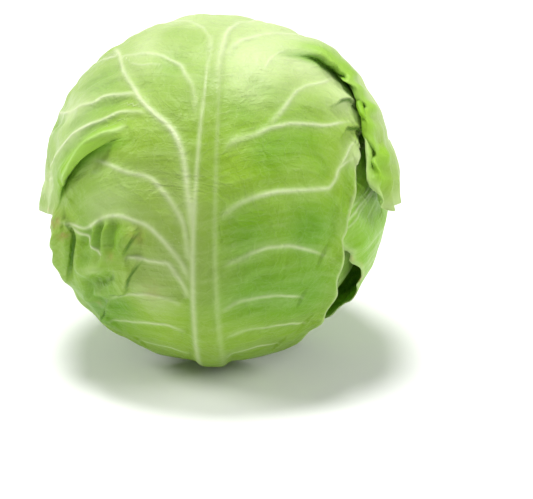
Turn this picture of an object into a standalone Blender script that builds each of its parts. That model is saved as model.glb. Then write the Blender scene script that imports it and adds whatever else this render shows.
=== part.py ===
"""A green cabbage, picked and trimmed: its cut stem, its heart and five wrapper leaves.

Units are metres and +Z is up. The origin is the middle of the stem's cut face, which the
head stands on, and the midrib of the outermost leaf faces -Y.

A leaf is first laid out on a plane map of its own, in degrees seen from the head's centre:
x runs across the leaf, y runs from the stem (-86) to the tip, and the point (0, 0) lies
LEAF_MIDDLE_LATITUDE above the head's equator. The map is then wrapped round the head.
"""
import math

import bmesh
import bpy
import numpy as np

MM = 0.001

# The head
HEAD_RADIUS = 87 * MM
HEAD_CENTRE_Z = 84 * MM
UNDERSIDE_Z = 6.5 * MM
UNDERSIDE_BLEND = 1.5 * MM
HEAD_DENTS = [(-72, 25, 24, -2.0 * MM), (62, 52, 22, 1.0 * MM)]

# The leaves
LEAF_COUNT = 5
LEAF_TURN = 137.5
LEAF_SPACING = 2.2 * MM
LEAF_THICKNESS = 0.8 * MM
LEAF_REST_LIFT = 1.2 * MM
LEAF_MIDDLE_LATITUDE = 10
OPEN_LIFT = 1.5 * MM
COVER_MARGIN = (3.0, 12.0)
TIP_ROW = 110
BASE_ROW = -86

# The midrib and petiole
RIB_HALF_WIDTH = (5.6, 1.3)
RIB_HEIGHT = (3.2 * MM, 0.6 * MM)
RIB_FILL = 0.4

# The stem and the heart
STEM_RADIUS = 20 * MM
STEM_NECK_RADIUS = 17 * MM
STEM_BEVEL = 1.0 * MM
PIECE_GAP = 0.3 * MM
PETIOLE_GAP = 1.0 * MM
STEM_SEGMENTS = 32
HEART_SEGMENTS = 32
HEART_RINGS = 20
HEART_SCALES = 8
HEART_SCALE_STEP = 0.8 * MM

# Rows of the outermost leaf, each a curve from the midrib at y over a bend point to the margin:
# (y on the midrib, bend x, bend y, margin x, margin y)
FRONT_RIGHT_ROWS = [
    (-86, 4, -86, 11, -87), (-78, 9, -77, 21, -78), (-65, 20, -62, 38, -64),
    (-50, 30, -44, 46, -50), (-30, 34, -20, 49, -32), (-10, 38, 4, 49, -13),
    (10, 42, 27, 52, 0), (30, 50, 46, 56, 15), (45, 56, 58, 59, 26),
    (56, 61, 65, 61, 32), (60, 70, 83, 62, 3), (65, 78, 91, 69, -5),
    (72, 86, 96, 82, -9), (80, 87, 98, 95, -6), (90, 76, 102, 106, 18),
    (101, 62, 110, 105, 48), (110, 50, 116, 94, 74),
]
FRONT_LEFT_ROWS = [
    (-86, -4, -86, -11, -87), (-78, -9, -77, -21, -78), (-65, -20, -62, -42, -65),
    (-50, -30, -44, -56, -54), (-35, -36, -29, -63, -42), (-18, -37, -12, -64, -32),
    (0, -37, 6, -62, -22), (14, -38, 19, -60, -15), (23, -40, 28, -60, -11),
    (29, -46, 37, -61, -8), (37, -56, 48, -69, -8), (48, -77, 63, -84, -10),
    (60, -88, 78, -98, -6), (74, -84, 92, -106, 14), (88, -72, 103, -107, 36),
    (100, -60, 110, -102, 56), (110, -50, 116, -92, 76),
]
# Rows of the right half of any other leaf; the left half mirrors them
WRAPPER_ROWS = [
    (-86, 4, -86, 11, -87), (-78, 9, -77, 22, -78), (-65, 20, -60, 40, -64),
    (-48, 36, -40, 60, -46), (-28, 46, -14, 78, -26), (-6, 56, 12, 90, -8),
    (18, 66, 36, 99, 8), (42, 76, 60, 104, 26), (64, 82, 80, 103, 46),
    (82, 72, 94, 98, 66), (96, 58, 104, 88, 86), (106, 48, 111, 76, 99),
]

# Folds where a lobe of the outermost leaf laps over the lobe below it: side, row, the shares
# of the row where it starts, is full, begins to close and is closed, then its lap and half
# width in degrees and its rise. The right one stays open past the margin.
FRONT_FOLDS = [
    (1, 58, 0.17, 0.45, 1.2, 1.4, 4.8, 3.5, 5.6 * MM),
    (-1, 26, 0.24, 0.50, 0.70, 0.96, 4.8, 3.5, 5.0 * MM),
]
# A fold rises before it laps: its lap grows by this power of its growth along the row
FOLD_LAP_POWER = 1.5
# Its step and its rounded lip, placed in half widths from the fold's middle row
FOLD_STEP_PLACE = 0.12
FOLD_STEP_SHARPNESS = 1.15
FOLD_LIP_PLACE = 1.15
FOLD_LIP_WIDTH = 0.6
FOLD_LIP_SHARE = 0.10
FOLD_CALM_PLACE = 2.0
FOLD_CALM_ROWS = 5.0
# Lobes whose margin stands away from the head: side, first and last row, rise
FRONT_FLARES = [(1, 57, 96, 1.6 * MM), (-1, 40, 74, 0.8 * MM)]
FLARE_RAMP_ROWS = 14
FLARE_START = 0.70

# The margin of a leaf: where it starts in share of a row and in rows from the tip, and its curl
MARGIN_START = 0.82
MARGIN_TIP_ROWS = 12.0
MARGIN_BASE_ROWS = 30.0
MARGIN_CURL = 1.0 * MM
MARGIN_WAVE = 0.7 * MM
MARGIN_WAVE_ROWS = 17.0

# Grid lines of the leaves: (start, end, steps) in rows, and in shares of a row
FRONT_ALONG = [(BASE_ROW, 17.25, 14), (17.25, 34.75, 10), (34.75, 49.25, 2),
               (49.25, 66.75, 10), (66.75, TIP_ROW, 6)]
FRONT_ACROSS = [(0, 0.12, 3), (0.12, 0.6, 7), (0.6, 1, 5)]
WRAPPER_ALONG = [(BASE_ROW, -62, 3), (-62, 106, 15)]
WRAPPER_ACROSS = [(0, 0.07, 1), (0.07, 0.49, 7), (0.49, 1, 4)]

COLOURS = {
    "stem": (0.74, 0.76, 0.50), "heart": (0.70, 0.80, 0.42),
    "leaf_1": (0.36, 0.56, 0.16), "leaf_2": (0.32, 0.53, 0.12), "leaf_3": (0.30, 0.52, 0.10),
    "leaf_4": (0.38, 0.60, 0.15), "leaf_5": (0.42, 0.63, 0.19),
}
ROUGHNESS = {"stem": 0.6, "heart": 0.5}
LEAF_ROUGHNESS = 0.45


def clear_scene():
    for old in list(bpy.data.objects):
        bpy.data.objects.remove(old, do_unlink=True)


def make_collection():
    head = bpy.data.collections.new("green_cabbage")
    bpy.context.scene.collection.children.link(head)
    return head


def make_material(name):
    material = bpy.data.materials.new(name)
    material.use_nodes = True
    shader = material.node_tree.nodes["Principled BSDF"]
    shader.inputs["Base Color"].default_value = (*COLOURS[name], 1)
    shader.inputs["Roughness"].default_value = ROUGHNESS.get(name, LEAF_ROUGHNESS)
    shader.inputs["Metallic"].default_value = 0
    return material


def add_to_head(piece, head):
    """Move a new object to the cabbage's collection and give it its material."""
    for collection in list(piece.users_collection):
        collection.objects.unlink(piece)
    head.objects.link(piece)
    piece.data.materials.append(make_material(piece.name))
    piece.data.shade_smooth()


def smooth_step(value):
    """0 below 0, 1 above 1 and an even ramp between."""
    held = np.clip(value, 0, 1)
    return held * held * (3 - 2 * held)


def smooth_curve(places, knots, values):
    """Smooth curve through hand-chosen values that never overshoots between them."""
    knots = np.asarray(knots, float)
    values = np.asarray(values, float)
    step = np.diff(knots)
    slope = np.diff(values) / step
    product = slope[:-1] * slope[1:]
    total = slope[:-1] + slope[1:]
    middle = np.where(product > 0, 2 * product / np.where(product > 0, total, 1), 0)
    tangent = np.concatenate([slope[:1], middle, slope[-1:]])
    left = np.clip(np.searchsorted(knots, places) - 1, 0, len(knots) - 2)
    part = np.clip((places - knots[left]) / step[left], 0, 1)
    rise = values[left + 1] - values[left]
    start = tangent[left] * step[left]
    end = tangent[left + 1] * step[left]
    return values[left] + part * (start + part * (3 * rise - 2 * start - end
                                                  + part * (start + end - 2 * rise)))


def fold_growth(fold, share):
    """0 where a fold hasn't opened yet or has closed again along a row, 1 where it is full."""
    _, _, start, full, wane, closed, _, _, _ = fold
    opened = smooth_step((share - start) / (full - start))
    return opened * smooth_step((closed - share) / (closed - wane))


def grid_lines(stretches):
    """Places of the grid lines along stretches that are each evenly divided."""
    lines = [stretches[0][0]]
    for start, end, steps in stretches:
        lines.extend(start + (end - start) * (index + 1) / steps for index in range(steps))
    return np.array(lines)


def map_to_direction(x, y, turn):
    """Direction from the head's centre for a place on a leaf's map, the leaf turned about Z."""
    angle = np.radians(np.hypot(x, y))
    around = np.arctan2(y, x)
    ahead = np.cos(angle)
    side = np.sin(angle) * np.cos(around)
    up = np.sin(angle) * np.sin(around)
    tilt = math.radians(LEAF_MIDDLE_LATITUDE)
    front = ahead * math.cos(tilt) - up * math.sin(tilt)
    height = ahead * math.sin(tilt) + up * math.cos(tilt)
    c, s = math.cos(math.radians(turn)), math.sin(math.radians(turn))
    return np.stack([side * c + front * s, side * s - front * c, height], axis=-1)


def direction_to_map(direction, turn):
    """Place on a leaf's map for a direction: the reverse of map_to_direction."""
    c, s = math.cos(math.radians(turn)), math.sin(math.radians(turn))
    side = direction[..., 0] * c + direction[..., 1] * s
    front = direction[..., 0] * s - direction[..., 1] * c
    tilt = math.radians(LEAF_MIDDLE_LATITUDE)
    ahead = front * math.cos(tilt) + direction[..., 2] * math.sin(tilt)
    up = direction[..., 2] * math.cos(tilt) - front * math.sin(tilt)
    angle = np.degrees(np.arccos(np.clip(ahead, -1, 1)))
    flat = np.maximum(np.hypot(side, up), 1e-9)
    return angle * side / flat, angle * up / flat


def layer_radius(direction, layer):
    """Distance from the head's centre to a layer's resting surface, flattened underneath."""
    x, y = direction_to_map(direction, 0)
    radius = np.full(x.shape, HEAD_RADIUS - LEAF_REST_LIFT - layer * LEAF_SPACING)
    for dent_x, dent_y, width, depth in HEAD_DENTS:
        radius = radius + depth * np.exp(-((x - dent_x) ** 2 + (y - dent_y) ** 2) / width ** 2)
    down = np.maximum(-direction[..., 2], 0.05)
    underside = (HEAD_CENTRE_Z - UNDERSIDE_Z - layer * LEAF_SPACING) / down
    least = np.minimum(radius, underside)
    spread = np.abs(radius - underside) / UNDERSIDE_BLEND
    return least - UNDERSIDE_BLEND * np.log1p(np.exp(-spread))


def stem_radius(height):
    """Radius of the tapering stem at a height."""
    share = np.clip(height / stem_top(), 0, 1)
    return STEM_RADIUS + (STEM_NECK_RADIUS - STEM_RADIUS) * share


def stem_top():
    """Height of the stem's upper face, just under the heart."""
    return UNDERSIDE_Z + LEAF_COUNT * LEAF_SPACING


class Leaf:
    """One leaf: its layer, its turn round the stem and the rows of its two halves."""

    def __init__(self, layer, right_rows, left_rows, folds, flares, along, across):
        self.name = f"leaf_{layer + 1}"
        self.layer = layer
        self.turn = LEAF_TURN * layer
        self.rows = {1: np.array(right_rows, float), -1: np.array(left_rows, float)}
        self.folds = folds
        self.flares = flares
        self.along = grid_lines(along)
        half = grid_lines(across)
        self.across = np.concatenate([-half[:0:-1], half])

    def tip(self):
        return self.along[-1]

    def half_on_map(self, side, share, row):
        """Map places on one half, with the rows bent and the folds lapped."""
        table = self.rows[side]
        bend_x, bend_y, margin_x, margin_y = (
            smooth_curve(row, table[:, 0], table[:, column]) for column in range(1, 5))
        before, between, after = (1 - share) ** 2, 2 * share * (1 - share), share ** 2
        x = between * bend_x + after * margin_x
        y = before * row + between * bend_y + after * margin_y
        run_x = (1 - share) * bend_x + share * (margin_x - bend_x)
        run_y = (1 - share) * (bend_y - row) + share * (margin_y - bend_y)
        run = np.hypot(run_x, run_y)
        for fold in self.folds:
            fold_side, fold_row, _, _, _, _, lap, half, _ = fold
            if fold_side == side:
                place = (row - fold_row) / half
                growth = fold_growth(fold, share) ** FOLD_LAP_POWER
                shift = -lap * place * np.exp(0.5 - place ** 2 / 2) * growth
                x = x - side * shift * run_y / run
                y = y + side * shift * run_x / run
        return x, y

    def on_map(self):
        """Map places of the whole grid, with each point's share of its row and its row."""
        row, across = np.meshgrid(self.along, self.across, indexing="ij")
        share = np.abs(across)
        right = self.half_on_map(1, share, row)
        left = self.half_on_map(-1, share, row)
        x = np.where(across >= 0, right[0], left[0])
        y = np.where(across >= 0, right[1], left[1])
        return x, y, across, row

    def outline(self):
        """Closed outline of the leaf on its map."""
        x, y, _, _ = self.on_map()
        grid = np.stack([x, y], axis=-1)
        return np.concatenate([grid[:, -1], grid[-1, ::-1], grid[::-1, 0], grid[0]])


def distance_outside(points, outline):
    """Distance from each point to a closed outline, below 0 for a point inside it."""
    start = outline
    end = np.roll(outline, -1, axis=0)
    run = end - start
    length = np.maximum((run ** 2).sum(axis=1), 1e-9)
    offset = points[:, None, :] - start
    share = np.clip((offset * run).sum(axis=2) / length, 0, 1)
    nearest = np.linalg.norm(offset - share[..., None] * run, axis=2).min(axis=1)
    rise = np.where(np.abs(run[:, 1]) < 1e-9, 1e-9, run[:, 1])
    level = (start[:, 1] > points[:, None, 1]) != (end[:, 1] > points[:, None, 1])
    crossing = start[:, 0] + run[:, 0] * (points[:, None, 1] - start[:, 1]) / rise
    inside = (level & (points[:, None, 0] < crossing)).sum(axis=1) % 2 == 1
    return np.where(inside, -nearest, nearest)


def uncovered(direction, outer_leaves):
    """1 where no outer leaf covers a place, 0 under one, with a ramp beyond its margin."""
    share = np.ones(direction.shape[:-1])
    near, far = COVER_MARGIN
    for leaf in outer_leaves:
        x, y = direction_to_map(direction, leaf.turn)
        points = np.stack([x.ravel(), y.ravel()], axis=1)
        gap = distance_outside(points, leaf.outline()).reshape(x.shape)
        share = share * smooth_step((gap - near) / (far - near))
    return share


def rib_height(leaf, x, y):
    """Height of the midrib, thick and broad as the petiole and fading towards the tip."""
    up = smooth_step((y - BASE_ROW) / (leaf.tip() - BASE_ROW))
    half_width = RIB_HALF_WIDTH[0] + (RIB_HALF_WIDTH[1] - RIB_HALF_WIDTH[0]) * np.sqrt(up)
    height = RIB_HEIGHT[0] + (RIB_HEIGHT[1] - RIB_HEIGHT[0]) * np.sqrt(up)
    return height * np.exp(-(x / half_width) ** 4)


def fold_height(leaf, across, row):
    """Rise of the folds, from the lobe below over the turned lip to the lobe above."""
    height = np.zeros(row.shape)
    for fold in leaf.folds:
        side, fold_row, _, _, _, _, _, half, rise = fold
        place = (row - fold_row) / half
        step = 0.5 * (1 + np.tanh(FOLD_STEP_SHARPNESS * (place - FOLD_STEP_PLACE)))
        lip = FOLD_LIP_SHARE * np.exp(-((place - FOLD_LIP_PLACE) / FOLD_LIP_WIDTH) ** 2)
        calm = np.exp(-np.maximum(place - FOLD_CALM_PLACE, 0) / FOLD_CALM_ROWS)
        height = height + rise * (step + lip) * calm * fold_growth(fold, side * across)
    return height


def margin_height(leaf, across, row):
    """Curl, waves and flares of the margin, which stands a little away from the head."""
    to_tip = (leaf.tip() - row) / MARGIN_TIP_ROWS
    from_base = smooth_step((row - BASE_ROW) / MARGIN_BASE_ROWS)
    to_side = (np.abs(across) - MARGIN_START) / (1 - MARGIN_START)
    edge = np.maximum(smooth_step(to_side), smooth_step(1 - to_tip))
    wave = np.sin(2 * math.pi * row / MARGIN_WAVE_ROWS + leaf.layer * 2 + across)
    height = (MARGIN_CURL + MARGIN_WAVE * wave) * edge * from_base
    for side, first, last, rise in leaf.flares:
        lobe = smooth_step((row - first) / FLARE_RAMP_ROWS)
        lobe = lobe * smooth_step((last - row) / FLARE_RAMP_ROWS)
        outwards = smooth_step((side * across - FLARE_START) / (1 - FLARE_START))
        height = height + rise * lobe * outwards
    return height


def leaf_points(leaf, outer_leaves):
    """Points of a leaf's outer face, and its thickness at each of them."""
    x, y, across, row = leaf.on_map()
    direction = map_to_direction(x, y, leaf.turn)
    bare = uncovered(direction, outer_leaves)
    rib = rib_height(leaf, x, y) * bare
    lift = (LEAF_REST_LIFT + OPEN_LIFT * min(leaf.layer, 1)) * bare
    relief = fold_height(leaf, across, row) + margin_height(leaf, across, row) * bare
    radius = layer_radius(direction, leaf.layer) + lift + rib + relief
    points = direction * radius[..., None]
    points[..., 2] += HEAD_CENTRE_Z
    reach = np.hypot(points[..., 0], points[..., 1])
    least = stem_radius(points[..., 2]) + PIECE_GAP + np.where(row == BASE_ROW, 0, PETIOLE_GAP)
    crowded = (points[..., 2] < HEAD_CENTRE_Z) & (reach < least)
    points[..., :2] *= np.where(crowded, least / reach, 1)[..., None]
    return points, LEAF_THICKNESS + RIB_FILL * rib


def add_leaf(leaf, outer_leaves, head):
    """A flat grid wrapped round the head, cut in triangles and given its thickness."""
    points, thickness = leaf_points(leaf, outer_leaves)
    rows, columns = thickness.shape
    bpy.ops.mesh.primitive_grid_add(x_subdivisions=columns - 1, y_subdivisions=rows - 1, size=2)
    piece = bpy.context.object
    piece.name = leaf.name
    piece.data.vertices.foreach_set("co", points.reshape(-1).astype(np.float32))
    mesh = bmesh.new()
    mesh.from_mesh(piece.data)
    bmesh.ops.triangulate(mesh, faces=mesh.faces, quad_method="SHORT_EDGE")
    mesh.to_mesh(piece.data)
    mesh.free()
    deepest = float(thickness.max())
    depth = piece.vertex_groups.new(name="thickness")
    for index, share in enumerate((thickness / deepest).ravel()):
        depth.add([index], float(share), "REPLACE")
    solid = piece.modifiers.new("thickness", "SOLIDIFY")
    solid.thickness = deepest
    solid.offset = -1
    solid.vertex_group = depth.name
    add_to_head(piece, head)


def add_stem(head):
    """The cut stem, turned from a profile that runs down its outer side."""
    profile = [(0, stem_top()), (STEM_NECK_RADIUS, stem_top()),
               (STEM_RADIUS, STEM_BEVEL), (STEM_RADIUS - STEM_BEVEL, 0), (0, 0)]
    mesh = bpy.data.meshes.new("stem")
    lines = [(index, index + 1) for index in range(len(profile) - 1)]
    mesh.from_pydata([(radius, 0, height) for radius, height in profile], lines, [])
    piece = bpy.data.objects.new("stem", mesh)
    screw = piece.modifiers.new("turn", "SCREW")
    screw.steps = STEM_SEGMENTS
    screw.render_steps = STEM_SEGMENTS
    screw.use_merge_vertices = True
    screw.merge_threshold = 0.00001
    add_to_head(piece, head)


def heart_scale(direction):
    """Share of a step between the lapped leaves of the heart, wound round its axis."""
    around = np.arctan2(direction[..., 1], direction[..., 0]) / (2 * math.pi)
    height = np.arcsin(np.clip(direction[..., 2], -1, 1)) / math.pi
    turn = (around * HEART_SCALES * 0.5 + height * HEART_SCALES) % 1
    fade = np.cos(np.arcsin(np.clip(direction[..., 2], -1, 1))) ** 2
    return smooth_step(turn / 0.8) * smooth_step((1 - turn) / 0.2) * fade


def add_heart(head):
    """The tight inner head, a ball flattened over the stem and stepped by its leaves."""
    bpy.ops.mesh.primitive_uv_sphere_add(segments=HEART_SEGMENTS, ring_count=HEART_RINGS, radius=1)
    piece = bpy.context.object
    piece.name = "heart"
    count = len(piece.data.vertices)
    direction = np.empty(count * 3, np.float32)
    piece.data.vertices.foreach_get("co", direction)
    direction = direction.reshape(-1, 3).astype(float)
    radius = layer_radius(direction, LEAF_COUNT) - HEART_SCALE_STEP
    radius = radius + HEART_SCALE_STEP * heart_scale(direction)
    points = direction * radius[:, None]
    points[:, 2] = np.maximum(points[:, 2] + HEAD_CENTRE_Z, stem_top() + PIECE_GAP)
    piece.data.vertices.foreach_set("co", points.reshape(-1).astype(np.float32))
    add_to_head(piece, head)


def make_leaves():
    """The wrapper leaves from the outermost in, each turned LEAF_TURN from the one before."""
    mirrored = [(y, -bend_x, bend_y, -margin_x, margin_y)
                for y, bend_x, bend_y, margin_x, margin_y in WRAPPER_ROWS]
    leaves = [Leaf(0, FRONT_RIGHT_ROWS, FRONT_LEFT_ROWS, FRONT_FOLDS, FRONT_FLARES,
                   FRONT_ALONG, FRONT_ACROSS)]
    for layer in range(1, LEAF_COUNT):
        leaves.append(Leaf(layer, WRAPPER_ROWS, mirrored, [], [], WRAPPER_ALONG, WRAPPER_ACROSS))
    return leaves


clear_scene()
cabbage = make_collection()
add_stem(cabbage)
add_heart(cabbage)
wrapper_leaves = make_leaves()
for number, wrapper in enumerate(wrapper_leaves):
    add_leaf(wrapper, wrapper_leaves[:number], cabbage)
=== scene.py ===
"""A green cabbage on a pale studio floor: its cut stem, its heart and five wrapper leaves.

Units are metres and +Z is up. A leaf is laid out on a plane map of its own, in degrees seen
from the head's centre: x runs across it, y from the stem (-86) to the tip.
"""

import math
import random

import bmesh
import bpy
import numpy as np
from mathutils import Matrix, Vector, noise


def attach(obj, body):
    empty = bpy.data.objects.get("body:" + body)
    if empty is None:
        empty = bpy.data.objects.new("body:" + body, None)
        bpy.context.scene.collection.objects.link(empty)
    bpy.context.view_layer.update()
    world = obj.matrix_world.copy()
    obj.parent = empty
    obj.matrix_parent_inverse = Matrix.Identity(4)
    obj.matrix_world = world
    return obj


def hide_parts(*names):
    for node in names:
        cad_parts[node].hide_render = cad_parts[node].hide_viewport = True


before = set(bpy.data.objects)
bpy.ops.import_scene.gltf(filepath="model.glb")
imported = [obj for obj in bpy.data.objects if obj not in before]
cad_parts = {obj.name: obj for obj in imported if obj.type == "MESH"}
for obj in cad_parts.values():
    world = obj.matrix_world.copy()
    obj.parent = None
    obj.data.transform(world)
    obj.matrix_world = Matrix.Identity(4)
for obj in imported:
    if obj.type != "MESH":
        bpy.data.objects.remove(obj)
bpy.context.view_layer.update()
bpy.ops.object.select_all(action="DESELECT")

MM = 0.001

# The studio: a white floor that runs out of sight, under a broad soft light from overhead and
# a weaker one from each side. The camera stands a little right of the midrib and looks down.
HEAD_RADIUS = 87 * MM
HEAD_CENTRE = Vector((0, 0, 84 * MM))
CAMERA_AZIMUTH = math.radians(5)
CAMERA_HEIGHT = math.radians(20)
CAMERA_DISTANCE = 0.95
CAMERA_LENS = 127
HEAD_LEFT_OF_FRAME = 25.0 * MM
HEAD_ABOVE_FRAME = 31.1 * MM
FLOOR_WIDTH = 12
FLOOR_WHITE = (0.93, 0.93, 0.93, 1)
FLOOR_ROUGHNESS = 0.6
FLOOR_SHINE = 0.2
ROOM_LIGHT = 0.25
SOFT_LIGHTS = [
    # where it comes from, spread in degrees, strength
    ((-0.10, 0.10, 1.0), 20, 2.8),
    ((1.0, -0.20, 0.72), 35, 1.5),
    ((-1.0, -0.05, 0.80), 18, 1.35),
]

scene = bpy.context.scene
scene.view_settings.view_transform = "Standard"

back = Vector((math.sin(CAMERA_AZIMUTH) * math.cos(CAMERA_HEIGHT),
               -math.cos(CAMERA_AZIMUTH) * math.cos(CAMERA_HEIGHT), math.sin(CAMERA_HEIGHT)))
camera_right = Vector((math.cos(CAMERA_AZIMUTH), math.sin(CAMERA_AZIMUTH), 0))
camera_up = back.cross(camera_right)
aim = HEAD_CENTRE + camera_right * HEAD_LEFT_OF_FRAME - camera_up * HEAD_ABOVE_FRAME
place = HEAD_CENTRE + back * CAMERA_DISTANCE
bpy.ops.object.camera_add(location=place, rotation=(aim - place).to_track_quat("-Z", "Y").to_euler())
camera = bpy.context.object
camera.data.lens = CAMERA_LENS
scene.camera = camera

bpy.ops.mesh.primitive_plane_add(size=FLOOR_WIDTH, location=(0, 0, 0))
floor = bpy.context.object
floor.name = "floor"
floor_finish = bpy.data.materials.new("white_floor")
floor_finish.use_nodes = True
floor_shader = floor_finish.node_tree.nodes["Principled BSDF"]
floor_shader.inputs["Base Color"].default_value = FLOOR_WHITE
floor_shader.inputs["Roughness"].default_value = FLOOR_ROUGHNESS
floor_shader.inputs["Specular IOR Level"].default_value = FLOOR_SHINE
floor.data.materials.append(floor_finish)

sky = bpy.data.worlds.new("white_room")
scene.world = sky
sky.use_nodes = True
sky.node_tree.nodes["Background"].inputs["Color"].default_value = (1, 1, 1, 1)
sky.node_tree.nodes["Background"].inputs["Strength"].default_value = ROOM_LIGHT

for spot, spread, strength in SOFT_LIGHTS:
    turned = Vector(spot).to_track_quat("Z", "Y").to_euler()
    bpy.ops.object.light_add(type="SUN", location=spot, rotation=turned)
    lamp = bpy.context.object.data
    lamp.angle = math.radians(spread)
    lamp.energy = strength

# The cut stem: a short woody stub, sliced off square by the picker's knife. Its rind is pale
# green and its face shows a fibrous ring round a white pith, a little browned where it dried.
UNDERSIDE_Z = 6.5 * MM
LEAF_COUNT = 5
LEAF_SPACING = 2.2 * MM
STEM_RADIUS = 20 * MM
STEM_NECK_RADIUS = 17 * MM
STEM_HEIGHT = UNDERSIDE_Z + LEAF_COUNT * LEAF_SPACING
STEM_BEVEL = 1.0 * MM
END_FACE = 0.9
CUT_FACE = 0.99
# Rings of the cut face from the rind inwards: width, step up
STEM_RINGS = [(1.6 * MM, 0.15 * MM), (1.4 * MM, -0.25 * MM), (5.0 * MM, 0.15 * MM),
              (6.0 * MM, 0.10 * MM)]
# Scars that pulled-off leaves left round the stem
STEM_SCARS = [3.5 * MM, 6.5 * MM, 10.0 * MM, 13.5 * MM]
SCAR_DEPTH = 0.3 * MM
SCAR_HALF_WIDTH = 1.0 * MM
STEM_UNEVENNESS = 0.25 * MM
STEM_BUMPS_SCALE = 260
CUT_UNEVENNESS_SHARE = 0.5
STEM_RING_COLOURS = [
    # share of the radius, colour: pith, fibre ring, flesh, rind
    (0.0, 0.80, 0.80, 0.58), (0.45, 0.76, 0.77, 0.50), (0.66, 0.60, 0.55, 0.28),
    (0.74, 0.74, 0.72, 0.44), (0.90, 0.52, 0.60, 0.24), (1.0, 0.46, 0.56, 0.22),
]
STEM_RING_WANDER = 4 * MM
STEM_RING_MARGIN = 2 * MM
BROWNED = (0.50, 0.42, 0.20)
BROWNED_SHARE = 0.35
STEM_BUMP = 0.6 * MM
STEM_ROUGHNESS = 0.62


def add_node(tree, kind, **settings):
    """A shader node with its properties and socket values set."""
    node = tree.nodes.new(kind)
    for name, value in settings.items():
        if name in node.inputs:
            node.inputs[name].default_value = value
        else:
            setattr(node, name, value)
    return node


def colour_ramp(tree, stops):
    """A colour ramp through (place, red, green, blue) stops."""
    ramp = tree.nodes.new("ShaderNodeValToRGB")
    elements = ramp.color_ramp.elements
    for index, (place, red, green, blue) in enumerate(stops):
        element = elements[index] if index < 2 else elements.new(place)
        element.position = place
        element.color = (red, green, blue, 1)
    return ramp


def mix_colours(tree, share, first, second):
    """Mix of two colours by a share; each may be a socket or a plain value."""
    node = add_node(tree, "ShaderNodeMix", data_type="RGBA")
    for socket, value in ((node.inputs[0], share), (node.inputs[6], first), (node.inputs[7], second)):
        if isinstance(value, bpy.types.NodeSocket):
            tree.links.new(value, socket)
        elif isinstance(value, tuple):
            socket.default_value = (*value, 1)
        else:
            socket.default_value = value
    return node.outputs[2]


def stem_finish():
    """Cut stem: rings of pith, fibre and rind worked out from the distance to the axis."""
    material = bpy.data.materials.new("cut_stem")
    material.use_nodes = True
    tree = material.node_tree
    shader = tree.nodes["Principled BSDF"]
    place = add_node(tree, "ShaderNodeTexCoord")
    flat = add_node(tree, "ShaderNodeVectorMath", operation="MULTIPLY")
    flat.inputs[1].default_value = (1, 1, 0)
    tree.links.new(place.outputs["Object"], flat.inputs[0])
    length = add_node(tree, "ShaderNodeVectorMath", operation="LENGTH")
    tree.links.new(flat.outputs[0], length.inputs[0])
    wobble = add_node(tree, "ShaderNodeTexNoise", Scale=220.0, Detail=4.0)
    tree.links.new(place.outputs["Object"], wobble.inputs["Vector"])
    shaken = add_node(tree, "ShaderNodeMath", operation="MULTIPLY_ADD")
    shaken.inputs[1].default_value = STEM_RING_WANDER
    tree.links.new(wobble.outputs["Fac"], shaken.inputs[0])
    tree.links.new(length.outputs["Value"], shaken.inputs[2])
    share = add_node(tree, "ShaderNodeMath", operation="DIVIDE")
    share.inputs[1].default_value = STEM_RADIUS + STEM_RING_MARGIN
    tree.links.new(shaken.outputs[0], share.inputs[0])
    ramp = colour_ramp(tree, STEM_RING_COLOURS)
    tree.links.new(share.outputs[0], ramp.inputs["Fac"])
    specks = add_node(tree, "ShaderNodeTexVoronoi", Scale=900.0)
    tree.links.new(place.outputs["Object"], specks.inputs["Vector"])
    fibre = colour_ramp(tree, [(0.0, 1, 1, 1), (0.35, 0, 0, 0)])
    tree.links.new(specks.outputs["Distance"], fibre.inputs["Fac"])
    browned = mix_colours(tree, fibre.outputs["Color"], ramp.outputs["Color"], BROWNED)
    softly = mix_colours(tree, BROWNED_SHARE, ramp.outputs["Color"], browned)
    tree.links.new(softly, shader.inputs["Base Color"])
    bump = add_node(tree, "ShaderNodeBump", Strength=0.4, Distance=STEM_BUMP)
    tree.links.new(wobble.outputs["Fac"], bump.inputs["Height"])
    tree.links.new(bump.outputs[0], shader.inputs["Normal"])
    shader.inputs["Roughness"].default_value = STEM_ROUGHNESS
    shader.inputs["Subsurface Weight"].default_value = 0.15
    shader.inputs["Subsurface Scale"].default_value = 3 * MM
    shader.inputs["Subsurface Radius"].default_value = (1.0, 0.9, 0.4)
    return material


bpy.ops.mesh.primitive_cylinder_add(vertices=96, radius=STEM_RADIUS, depth=STEM_HEIGHT,
                                    location=(0, 0, STEM_HEIGHT / 2))
stem = bpy.context.object
stem.name = "cut_stem"
bpy.ops.object.transform_apply(location=True, rotation=True, scale=True)
bpy.ops.object.mode_set(mode="EDIT")
bpy.ops.mesh.select_mode(type="FACE")
mesh = bmesh.from_edit_mesh(stem.data)
for face in mesh.faces:
    face.select_set(face.normal.z > END_FACE)
bmesh.update_edit_mesh(stem.data)
bpy.ops.transform.resize(value=(STEM_NECK_RADIUS / STEM_RADIUS, STEM_NECK_RADIUS / STEM_RADIUS, 1))
mesh = bmesh.from_edit_mesh(stem.data)
for face in mesh.faces:
    face.select_set(face.normal.z < -END_FACE)
bmesh.update_edit_mesh(stem.data)
bpy.ops.mesh.bevel(offset=STEM_BEVEL, segments=4, affect="EDGES")
mesh = bmesh.from_edit_mesh(stem.data)
for face in mesh.faces:
    face.select_set(face.normal.z < -CUT_FACE and len(face.verts) > 4)
bmesh.update_edit_mesh(stem.data)
for width, step in STEM_RINGS:
    bpy.ops.mesh.inset(thickness=width, depth=0)
    bpy.ops.transform.translate(value=(0, 0, step))
bpy.ops.mesh.poke()
for height in STEM_SCARS:
    bpy.ops.mesh.select_all(action="SELECT")
    bpy.ops.mesh.bisect(plane_co=(0, 0, height), plane_no=(0, 0, 1))
bpy.ops.mesh.select_all(action="SELECT")
bpy.ops.mesh.subdivide(number_cuts=1)
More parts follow.
